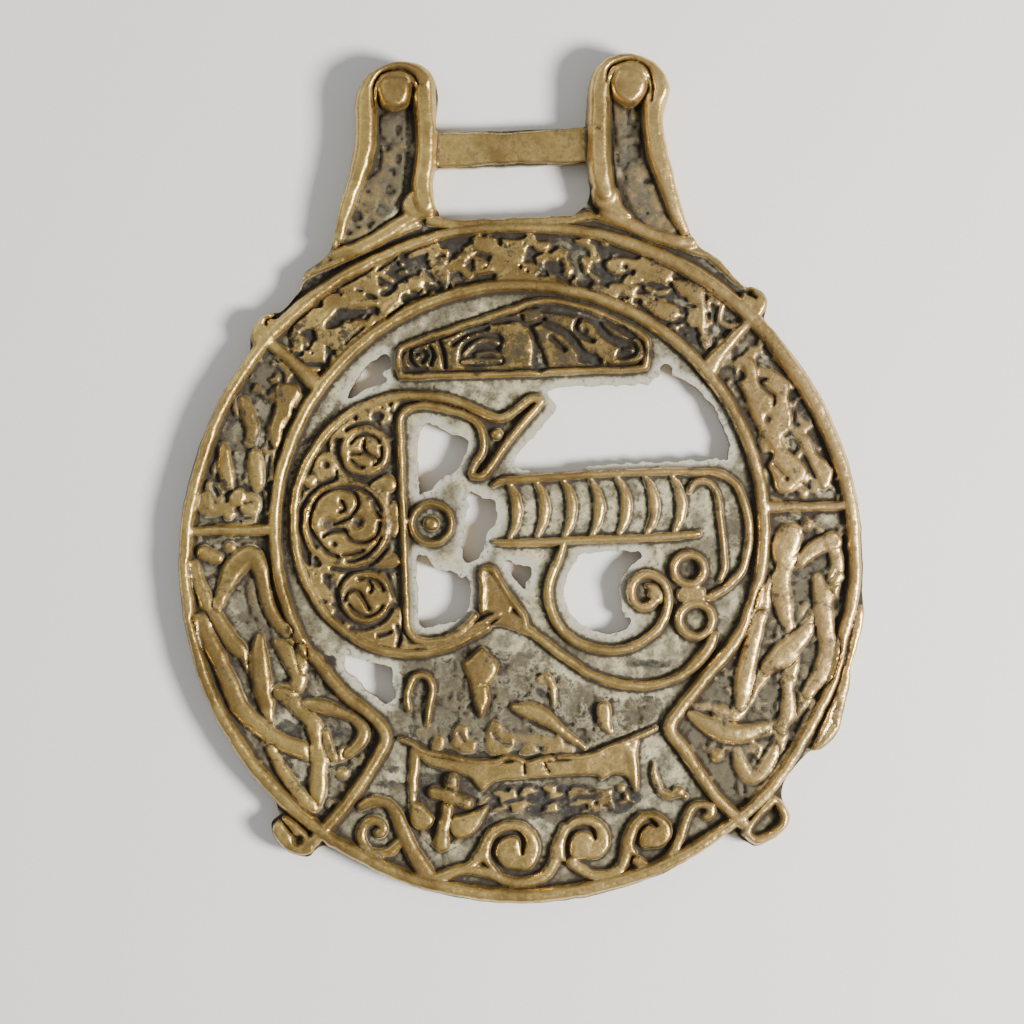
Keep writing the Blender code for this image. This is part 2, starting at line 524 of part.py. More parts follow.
def stroke_row(relief):
    """A row of plain curved strokes between two rails, and the flourish that ends it."""
    row = STROKE_ROW
    pitch = (row["right"] - row["left"]) / (STROKE_COUNT - 1)
    middle = (row["top"] + row["bottom"]) / 2
    for k in range(STROKE_COUNT):
        x = row["left"] + pitch * k
        points = [(x - row["bend"], row["top"] - 0.9, 0.5), (x + row["bend"] / 3, middle, 1.3),
                  (x - row["bend"], row["bottom"] + 0.9, 0.5)]
        band(f"stroke_{k}", points, STROKE_WIDTH, STROKE_RISE, relief)
    band("row_top", [(-2.4, 9.4, 0.7), (8.0, row["top"]), (20.4, 9.9), (23.2, 9.6), (25.4, 7.8),
                     (26.8, 4.0), (26.2, -0.8), (24.4, -3.2), (22.0, -4.6, 1.2)],
         BAND_WIDTH, BAND_RISE, relief)
    band("row_bottom", [(-2.2, 2.5, 0.7), (8.0, row["bottom"]), (20.6, 2.4, 0.8)], BAND_WIDTH,
         BAND_RISE, relief)
    band("flourish_inner", [(20.0, 8.0, 0.7), (22.4, 8.3), (23.5, 5.5), (23.7, 0.5),
                            (22.9, -3.0, 0.7)], FINE_WIDTH, KNOT_RISE, relief)


def scrolls(relief):
    """The long tail that winds round the scroll opening, its rings, and the band below."""
    tail = [(4.9, 1.6, 0.8), (3.3, -2.0), (3.4, -5.8), (5.6, -9.0), (9.4, -10.5), (13.4, -10.0),
            (16.2, -7.6), (17.2, -4.6)]
    tail += arc((14.9, -3.9), 2.2, 10, 300, 9, 1.1)
    band("tail", tail, BAND_WIDTH, BAND_RISE, relief)
    for name, centre, radius in (("upper", (19.5, -1.5), 1.75), ("lower", (20.2, -7.4), 1.95)):
        circle = arc(centre, radius, 0, 360, 10)[:-1]
        band("scroll_ring_" + name, circle, BAND_WIDTH, BAND_RISE, relief, True)
    sweep_round = [(0.4, -7.6, 0.7), (4.2, -10.2), (8.4, -13.5), (13.0, -14.8), (17.4, -14.3),
                   (20.8, -12.4, 1.4), (22.4, -9.6, 1.2)]
    band("lower_sweep", sweep_round, BAND_WIDTH, BAND_RISE, relief)


def ground_figures(relief):
    """The low figures between the scrolls and the ship."""
    band("horseshoe", HORSESHOE, FINE_WIDTH, BAND_RISE, relief)
    pad("cloaked_figure", CLOAKED_FIGURE, BAND_RISE, relief)
    for name, points in (("whale", WHALE), ("standing_stone", STANDING_STONE),
                         ("small_figure", SMALL_FIGURE)):
        band(name, points, FIGURE_WIDTH, KNOT_RISE, relief)


def ship_and_anchor(relief):
    """The ship's side along the gunwale, and the anchor at its bow."""
    for name, points in (("gunwale", GUNWALE), ("stern", STERN)):
        band(name, points, KNOT_WIDTH, BAND_RISE, relief)
    band("bow", BOW, FINE_WIDTH, FINE_RISE, relief)
    for name, points in ANCHOR.items():
        band("anchor_" + name, points, BAND_WIDTH, BAND_RISE, relief)


def waves(relief):
    """Breaking waves along the foot of the disc, each curled over a round eye."""
    for k, (x, y, size) in enumerate([(-1.9, -32.9, 1.0), (6.8, -32.8, 0.95), (14.0, -32.2, 0.85)]):
        centre = (x, y)
        foot = [(x - 4.3 * size, y - 2.2 * size)]
        crest = arc(centre, 3.0 * size, 165, -60, 7, 2.1 * size)
        eye = arc(centre, 1.6 * size, -120, -200, 2, 0.9 * size)
        band(f"wave_{k}", foot + crest + eye, BROAD_WIDTH, BAND_RISE, relief)
    left = [(-11.6, -36.4), (-13.6, -34.4), (-15.0, -31.0)]
    left += arc((-18.0, -30.8), 3.1, 20, 330, 8, 1.9) + [(-17.2, -31.0)]
    band("wave_left", left, BAND_WIDTH, BAND_RISE, relief)
    band("wave_join", [(-12.0, -36.2), (-9.4, -35.2), (-6.6, -33.6)], BROAD_WIDTH, BAND_RISE, relief)
    band("wave_right", [(15.6, -35.4, 1.2), (17.7, -33.0), (19.2, -29.5), (20.8, -29.2),
                        (21.1, -30.3)], BAND_WIDTH, BAND_RISE, relief)


def small_relief(relief):
    """The strands of knotwork and beasts, and the small round knobs among them."""
    for panel, strands in KNOTS.items():
        for k, points in enumerate(strands):
            band(f"{panel}_{k}", points, KNOT_WIDTH, KNOT_RISE if k % 2 else LOW_KNOT_RISE, relief)
    for k, (centre, radius) in enumerate(KNOBS):
        knob(f"knob_{k}", plan([centre])[0], radius * UNIT, FINE_RISE, relief)


def brass():
    material = bpy.data.materials.new("cast_brass")
    material.use_nodes = True
    shader = material.node_tree.nodes["Principled BSDF"]
    shader.inputs["Base Color"].default_value = BRASS_COLOUR
    shader.inputs["Roughness"].default_value = BRASS_ROUGHNESS
    shader.inputs["Metallic"].default_value = BRASS_METALLIC
    return material


def boolean(item, operation, collection):
    step = item.modifiers.new(operation.lower(), "BOOLEAN")
    step.operation = operation
    step.operand_type = "COLLECTION"
    step.collection = collection
    step.solver = "EXACT"
    step.use_self = True


def main():
    clear_scene()
    scene = bpy.context.scene.collection
    relief = bpy.data.collections.new("relief")
    cutters = bpy.data.collections.new("cutters")
    scene.children.link(relief)
    scene.children.link(cutters)
    for build in (rim_and_ring, lobes_and_shoulders, horns, crescent, stroke_row, scrolls,
                  ground_figures, ship_and_anchor, waves, small_relief):
        build(relief)
    slot_cutter(cutters)
    opening_cutters(cutters)
    casting = plate(scene)
    casting.data.materials.append(brass())
    boolean(casting, "UNION", relief)
    boolean(casting, "DIFFERENCE", cutters)


main()
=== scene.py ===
"""A cast brass harness ornament, dressed as a worn old casting and set on a pale studio floor.

Plan points are in millimetres on the disc, centred on it, with +Y towards the horns. A third
number in a point is a share of the strand's width there.
"""

import math

import bmesh
import bpy
import numpy as np
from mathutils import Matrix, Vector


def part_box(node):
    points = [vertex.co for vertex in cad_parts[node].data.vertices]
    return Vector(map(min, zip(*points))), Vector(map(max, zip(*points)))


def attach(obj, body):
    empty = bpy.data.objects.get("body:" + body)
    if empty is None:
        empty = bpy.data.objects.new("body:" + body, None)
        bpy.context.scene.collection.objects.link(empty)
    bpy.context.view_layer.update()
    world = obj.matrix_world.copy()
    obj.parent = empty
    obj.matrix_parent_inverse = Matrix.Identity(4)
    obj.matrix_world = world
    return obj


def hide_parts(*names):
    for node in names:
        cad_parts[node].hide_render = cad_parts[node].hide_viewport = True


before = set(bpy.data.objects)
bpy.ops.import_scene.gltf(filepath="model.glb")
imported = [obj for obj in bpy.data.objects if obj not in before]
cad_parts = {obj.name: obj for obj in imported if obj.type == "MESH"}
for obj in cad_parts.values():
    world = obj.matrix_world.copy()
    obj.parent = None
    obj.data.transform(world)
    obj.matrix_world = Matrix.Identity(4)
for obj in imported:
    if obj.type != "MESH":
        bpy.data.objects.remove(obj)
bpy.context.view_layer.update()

bl_info = {
    "name": "Horse Brass",
    "version": (1, 0, 0),
    "blender": (4, 5, 0),
    "location": "View3D > Sidebar > Horse Brass",
    "description": "Builds a worn, pierced brass harness ornament and its studio stage",
    "category": "Add Mesh",
}

NODE = "horse_brass"
BODY = "root"
PIECE = "horse_brass_casting"
MM = 0.001

NODE_LOW, NODE_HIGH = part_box(NODE)
DISC_RADIUS = 40.0
DISC_Y = NODE_LOW.y / MM + DISC_RADIUS
TOP_LIMIT = NODE_HIGH.z / MM
HORN_LIMIT = NODE_HIGH.y / MM - DISC_Y

# Rounding of the relief: shoulders of islands, shoulders of strands as a share, and bluntness
SHOULDER = 0.42
STRAND_SHOULDER = 0.75
ROUNDING = 2.8

# Shapes of tapers, moats, knobs, pits and soft patches
TAPER = 0.6
MOAT_DEPTH = 0.8
KNOB_SIDE, KNOB_TOP = 3.2, 0.6
PIT_SIDE = 3
PATCH_EDGE, PATCH_FADE = 1.35, 0.6
PATCH_RANGE = (0.2, 0.7)
BLUR_REACH = 2.5

# Noise: the size of its lumps in millimetres, and for sums of layers also the weight of each
WOBBLE_CELL = 1.1
LUMP_LAYERS = ((0.6, 1.25), (0.4, 0.6))
RAGGED_LAYERS = ((0.12, 0.45), (0.11, 0.9))
SKIN_LAYERS = ((0.6, 0.35), (0.4, 0.8))
SWELL_LAYERS = ((0.05, 3.0),)
BLOT_LAYERS = ((0.6, 1.4),)

# Ranges over which lumps, panels, low ground and the borders of piercings fade in
LUMP_FLANK = 0.2
PANEL_RANGE = (0.0, 0.5)
TONE_RANGE = (-0.4, 0.5)
LOW_RANGE = (0.1, 0.5)
SMOOTH_RANGE = (0.7, 1.5)
BARE_RANGE = (0.5, 1.2)

# Steps along the curves of the silhouette, the openings and the panels
OUTLINE_STEP, HOLE_STEP, PANEL_STEP = 0.6, 0.4, 1.0

# Extent of the raster and of the mesh cut from it, in plan millimetres
RASTER_LEFT, RASTER_RIGHT = -42.0, 42.0
RASTER_LOW, RASTER_HIGH = -41.5, 60.5
SHEET_LEFT, SHEET_RIGHT = -41.0, 41.0
SHEET_LOW, SHEET_HIGH = -41.0, 59.5
NOISE_SHIFT = 60.0
TINY = 1e-9

# Distances and slopes at the edge of the metal, and the bevel at the foot of its walls
EDGE_REACH = 2.5
SNAP = 0.3
LEAST_STEEP = 0.25
EDGE_GAP = 0.05
WALL_GAP = 0.08
WALL_SHARES = (0.5, 0.0)
FOOT_INSET = 0.6

# Limits of the casting, and the blurs that find its narrow and broad hollows
DEEPEST = -0.45
THINNEST_WEB = 1.0
HOLLOW_BLUR = 0.28
SHADE_BLUR = 0.9
SHARP_ANGLE = 70.0
TRIANGLE_LIMIT = 200000

# Shader noises in lumps per metre, and the bump that they make
COARSE_GRAIN, FINE_GRAIN, SPECK_GRAIN, BROAD_GRAIN = 420, 1900, 5200, 90
FLOOR_GRAIN = 30
BUMP_STRENGTH, BUMP_DISTANCE = 0.55, 0.00014

# Picture, camera, floor and lamps, each lamp as its place, width and colour
IMAGE_WIDTH = 1024
DISC_PIXEL = (520.4, 562.5)
VIEW_PLANE = 0.0028
SENSOR_WIDTH = 36.0
NEAREST_SEEN = 0.01
FLOOR_HALF = 1.5
FLOOR_CELLS = 8
FLOOR_DROP = 0.0002
FLOOR_SHADE = 0.96
FLOOR_ROUGHNESS = 0.75
KEY_LAMP = ((0.36, -0.12, 0.33), 0.14, (1.0, 0.97, 0.93))
FILL_LAMP = ((-0.30, 0.28, 0.42), 0.5, (0.95, 0.98, 1.0))


def arc(x, y, radius, start, end, steps, end_radius=None, share=1.0):
    """Points along an arc, or along a spiral to another radius, in degrees."""
    last = radius if end_radius is None else end_radius
    points = []
    for k in range(steps + 1):
        part = k / steps
        reach = radius + (last - radius) * part
        angle = math.radians(start + (end - start) * part)
        points.append((x + reach * math.cos(angle), y + reach * math.sin(angle), share))
    return points


def ring(x, y, radius):
    """A closed circle, as points."""
    return arc(x, y, radius, 0, 360, max(12, int(radius * 2.2)))


def oval(x, y, length, width, turn=0.0):
    """An oval outline, its length along the turn in degrees."""
    c, s = math.cos(math.radians(turn)), math.sin(math.radians(turn))
    points = []
    for k in range(12):
        a = 2 * math.pi * k / 12
        u, v = length / 2 * math.cos(a), width / 2 * math.sin(a)
        points.append((x + u * c - v * s, y + u * s + v * c))
    return points


def lines(width, rise, *paths, moat=0.0):
    """Raised strands along open paths, with a narrow ditch beside them where they cross others."""
    return ("line", width, rise, moat, paths)


def pads(rise, *outlines, shoulder=SHOULDER):
    """Raised islands with rounded edges, from closed outlines."""
    return ("pad", shoulder, rise, 0.0, outlines)


def cuts(width, depth, *paths):
    """Grooves along open paths."""
    return ("cut", width, depth, 0.0, paths)


def knobs(rise, *spots):
    """Round knobs, each as x, y and radius."""
    return ("knob", 0.0, rise, 0.0, spots)


def pits(depth, *spots):
    """Round pits, each as x, y and radius."""
    return ("pit", 0.0, depth, 0.0, spots)


def wells(depth, *outlines):
    """Sunk areas with rounded edges, from closed outlines."""
    return ("well", SHOULDER, depth, 0.0, outlines)


# The silhouette, anticlockwise from the left lobe
SILHOUETTE = (
    arc(0, 0, 39.8, -125.0, -90, 12) + arc(0, 0, 39.8, -87, -55.0, 12)
    + [(23.6, -32.6), (24.2, -32.9), (24.9, -33.3), (25.6, -33.8), (26.2, -34.05), (27.2, -33.8),
       (28.2, -33.3), (29.4, -32.5), (30.15, -31.6), (30.4, -30.7), (30.1, -29.8), (29.6, -28.9),
       (29.5, -28.0), (29.75, -27.0), (30.3, -26.0), (31.6, -24.5), (33.0, -23.2), (34.2, -23.0),
       (35.5, -22.1), (36.4, -21.0), (36.8, -19.8), (37.2, -18.0), (37.8, -16.0), (38.0, -14.6),
       (38.0, -13.4), (38.6, -12.0), (39.3, -10.0), (39.75, -8.0), (39.85, -6.0)]
    + arc(0, 0, 39.98, -6.0, 42.6, 20)
    + [(29.65, 28.0), (29.8, 28.8), (29.9, 29.5), (29.6, 30.3), (28.9, 30.9), (28.0, 31.15),
       (27.1, 31.15), (26.0, 32.5), (24.8, 34.0), (23.7, 35.1), (22.5, 35.8), (21.6, 36.7),
       (21.1, 37.6), (20.8, 38.5), (20.3, 40.2), (19.7, 42.5), (19.1, 45.5), (18.6, 48.0),
       (18.35, 50.0), (18.4, 51.3), (18.8, 52.6), (19.15, 54.0), (19.1, 55.2), (18.4, 56.6),
       (17.0, 57.9), (15.0, 58.5), (13.4, 58.5), (11.8, 58.0), (10.6, 56.9), (9.9, 55.2),
       (9.6, 53.2), (9.45, 51.4), (9.4, 50.6), (9.1, 50.42), (8.0, 50.4), (4.0, 50.4), (0.0, 50.4),
       (-4.0, 50.4), (-7.0, 50.4), (-7.9, 50.42), (-8.15, 50.6), (-8.1, 51.6), (-7.9, 53.2),
       (-7.75, 55.0), (-8.1, 56.7), (-9.2, 58.0), (-11.0, 58.55), (-13.4, 58.3), (-15.4, 57.3),
       (-16.7, 55.8), (-17.3, 54.0), (-17.4, 52.0), (-17.6, 49.2), (-18.3, 46.0), (-19.3, 43.0),
       (-20.0, 40.5), (-20.35, 38.7), (-20.8, 37.3), (-21.6, 36.2), (-22.8, 35.4), (-23.8, 34.8),
       (-24.3, 33.5), (-25.1, 32.0), (-26.1, 30.8), (-27.2, 30.15), (-28.1, 30.1), (-29.1, 29.7),
       (-30.0, 28.8), (-30.45, 27.6), (-30.6, 26.4)]
    + arc(0, 0, 39.85, 140.5, 222.0, 30)
    + [(-29.35, -27.7), (-29.2, -28.5), (-29.7, -28.9), (-30.1, -29.4), (-30.1, -30.3), (-29.8, -31.1),
       (-29.2, -31.9), (-28.2, -32.8), (-27.0, -33.3), (-25.9, -33.5), (-25.3, -33.0), (-24.7, -32.5),
       (-24.0, -32.2), (-23.3, -32.4)])

STRAP_SLOT = [(-7.1, 40.15), (0, 40.2), (7, 40.15), (8.2, 40.6), (9.2, 41.6), (9.6, 43), (9.55, 44.8),
     (9.5, 45.9), (9.2, 46.25), (8, 46.3), (0, 46.3), (-7, 46.3), (-8.1, 46.25), (-8.45, 45.9),
     (-8.7, 44.4), (-8.6, 42.5), (-8.1, 41.1)]
PIERCINGS = [
    [(-19.5, 19.8), (-17.6, 20.6), (-15, 21.6), (-15.2, 22.6), (-14.2, 23.4), (-14.5, 24.7),
     (-15.5, 24.8), (-16.6, 23.9), (-17.9, 22.6), (-19, 21.1)],
    [(0, 12.4), (0.2, 11.2), (1, 10.7), (3.2, 10.35), (7.1, 10.5), (10, 11), (20, 11.1), (23, 11.4),
     (24.5, 11.2), (24.9, 12.9), (24.4, 14.7), (23.5, 16.8), (22.1, 18.7), (21, 20), (19.5, 20.8),
     (18.6, 21.3), (18.4, 22.2), (17.7, 22.7), (17.1, 22.2), (17, 21.4), (16.3, 20.7), (14.8, 20.3),
     (4.6, 20.2), (4.8, 18.2), (4.5, 17.4)],
    [(-11.3, 15.2), (-10.7, 16.4), (-9.5, 16.5), (-8.1, 15.6), (-5.8, 14.7), (-5.5, 13.9), (-6.3, 12.3),
     (-7.1, 10.8), (-8.7, 10.2), (-9.9, 9), (-11.2, 8.5), (-11.6, 8.7), (-11.5, 13.5)],
    [(-5.5, 8.5), (-4.1, 7.7), (-2.8, 7.3), (-2.5, 5.5), (-2.8, 4.4), (-3.9, 3.5), (-4.1, 1.9),
     (-4.9, 0.6), (-6, 0.2), (-6.6, 0.8), (-6.6, 3.1), (-6.2, 5.5), (-5.7, 6.8), (-6.2, 7.6)],
    [(-12.1, 1.2), (-10.7, 1), (-9.9, -0.3), (-8, -0.7), (-6.9, -1.5), (-6.4, -1.1), (-6, -1.8),
     (-5.9, -3), (-5.9, -4), (-6.6, -5.8), (-8, -6.6), (-9.5, -7), (-12, -6.9), (-12.1, -3)],
    [(-1.8, 0.4), (-0.5, -0.1), (0.9, -0.6), (1.2, -1.4), (0.7, -2.3), (0.5, -3.3), (-0.4, -2.4),
     (-1.2, -1.3)],
    [(6.4, -0.3), (7.6, 0.8), (12.9, 0.8), (14.2, 0.2), (13, -0.8), (12.2, -1.8), (11.4, -3.2),
     (11.5, -4.8), (12, -6.5), (12.7, -7.4), (12, -8.2), (10.2, -8.7), (8, -8.2), (6.2, -7), (5.3, -5.2),
     (5, -3.5), (5.5, -1.8)],
    [(-20.9, -10.2), (-20.3, -9.9), (-19, -10.7), (-17, -11.2), (-15.6, -11.6), (-15.3, -12.6),
     (-15.4, -15), (-16, -16), (-17, -15.5), (-18.5, -14.3), (-20, -12.7), (-20.9, -11.8)],
]

# Rim: degrees round the disc, radius of its crest, share of its width
RIM = [(-126, 39.1, 1.0), (-110, 38.95, 1.05), (-90, 38.85, 1.1), (-70, 38.9, 1.05), (-54, 39.1, 0.9),
       (-42, 39.2, 0.85), (-25, 38.9, 0.8), (-15, 38.6, 0.85), (-5, 39.0, 0.95), (10, 39.1, 1.05),
       (25, 39.0, 1.2), (40, 39.1, 1.2), (50, 39.3, 1.15), (60, 39.3, 1.2), (72, 39.3, 0.95),
       (82, 39.1, 0.75), (95, 39.15, 0.75), (106, 39.2, 0.8), (120, 39.2, 0.9), (132, 39.3, 1.05),
       (141, 39.25, 0.95), (155, 39.1, 0.95), (175, 39.1, 1.0), (195, 39.15, 0.95), (210, 39.1, 1.05),
       (222, 39.05, 1.15), (234, 39.1, 1.0)]
RING_BAND = (
    [(24.9, -31.3, 1.1), (22.0, -28.3), (20.0, -25.3), (18.2, -22.3), (16.8, -20.4), (16.9, -19.2),
     (18.0, -17.8), (19.2, -16.3), (21.5, -13.6), (23.6, -11.4)]
    + [p[:2] for p in arc(0, 3.8, 28.55, -26, 208, 72)]
    + [(-24.0, -10.6), (-22.7, -12.6), (-20.8, -14.9), (-19.0, -16.3), (-17.5, -17.7), (-16.6, -19.0),
       (-16.5, -20.2), (-17.4, -22.0), (-18.7, -24.0), (-20.6, -26.6), (-22.3, -28.6), (-24.0, -30.3),
       (-25.2, -31.6, 1.1)])

PANELS = {
    "arch": [(-27.5, 27.2), (-24, 30.4), (-18, 34.3), (-12, 37), (-5, 38.5), (3, 38.6), (10, 37.6),
         (16, 35.2), (22, 31.8), (27.5, 27.6), (24, 23), (18, 26.7), (11, 30.6), (0, 32.8), (-9, 31),
         (-17, 27.4), (-22.5, 22.7)],
    "upper_left": [(-29, 25.5), (-34, 18), (-38.2, 6), (-29.3, 6), (-27.6, 14.5), (-23.9, 21.5)],
    "upper_right": [(29, 26.5), (34, 18.5), (37.8, 6), (29.3, 6), (27.6, 14.5), (23.9, 21.8)],
    "lower_left": [(-38.4, 4), (-29, 4), (-27.3, -5), (-22.5, -13.3), (-17.5, -19), (-24.8, -30.5),
         (-31.5, -22.5), (-36.4, -12.5)],
    "lower_right": [(29.5, 4.6), (38.3, 4.6), (37.8, -6), (35, -16), (29.8, -24.5), (24.8, -30.4),
         (17.6, -20), (23.5, -12.4), (27.5, -5.5)],
    "pediment": [(-12.6, 22.4), (14.8, 22.4), (15, 25.4), (12, 27.4), (7.6, 29.3), (2.7, 29.9),
         (-3.2, 28), (-11.8, 25.6)],
    "crescent": [(-5, 18), (-13, 20), (-21, 16.4), (-25.6, 8), (-25.6, 1), (-21, -7), (-13, -10),
         (-5.5, -7.5), (-13.6, -8), (-13.9, 18)],
    "hull": [(-5.4, -27.4), (-3.8, -26.2), (3, -25.8), (8.4, -26.4), (12.3, -26.4), (12.4, -29.2),
         (6, -29.6), (3, -30), (-0.5, -29.4), (-4.4, -29.6)],
    "bow": [(-13.3, -24.2), (-10.8, -24), (-6.8, -25.4), (-5.4, -27.4), (-6.2, -30), (-9, -32.4),
         (-12, -31.6), (-13.6, -28)],
    "low ground": [(-14.5, -11.8), (-9, -11), (-2, -10.2), (4, -13), (8, -15.4), (14, -16.4), (15.5, -19),
         (9, -21.4), (4, -22.2), (-5, -22.2), (-12, -20.8), (-15.2, -18)],
    "horn_left": [(-14.7, 52.8), (-11.3, 53.3), (-11.4, 50), (-11.6, 47), (-12, 44), (-13, 42),
         (-14.5, 40), (-17, 38.3), (-19.7, 38), (-18.8, 40.5), (-17.7, 43.5), (-16.5, 45.5), (-15, 46.5),
         (-14.8, 50)],
    "horn_right": [(12.4, 54.5), (15.9, 52), (16, 49), (16.5, 47), (17.3, 44), (18.5, 41.5), (20, 38.2),
         (18, 37), (15.3, 39), (14, 41), (13.2, 43), (12.8, 46), (12.6, 50)],
}
# Each panel's tarnish, pale residue, height of worn lumps and noise level where they begin
PANEL_TONES = {
    "arch": (0.66, 0.22, 0.6, -0.1),
    "upper_left": (0.5, 0.34, 0.5, -0.14),
    "upper_right": (0.5, 0.32, 0.45, -0.1),
    "lower_left": (0.42, 0.4, 0.34, 0.05),
    "lower_right": (0.46, 0.34, 0.36, 0.02),
    "pediment": (0.9, 0.1, 0, 0),
    "crescent": (0.5, 0.2, 0.58, -0.28),
    "hull": (0.66, 0.2, 0.5, -0.05),
    "bow": (0.56, 0.3, 0, 0),
    "low ground": (0.42, 0.42, 0.3, 0),
    "horn_left": (0.4, 0.24, 0.34, -0.42),
    "horn_right": (0.4, 0.24, 0.34, -0.38),
}
GROUND_TONE = (0.17, 0.6)
PATCH_WEIGHT = 0.8

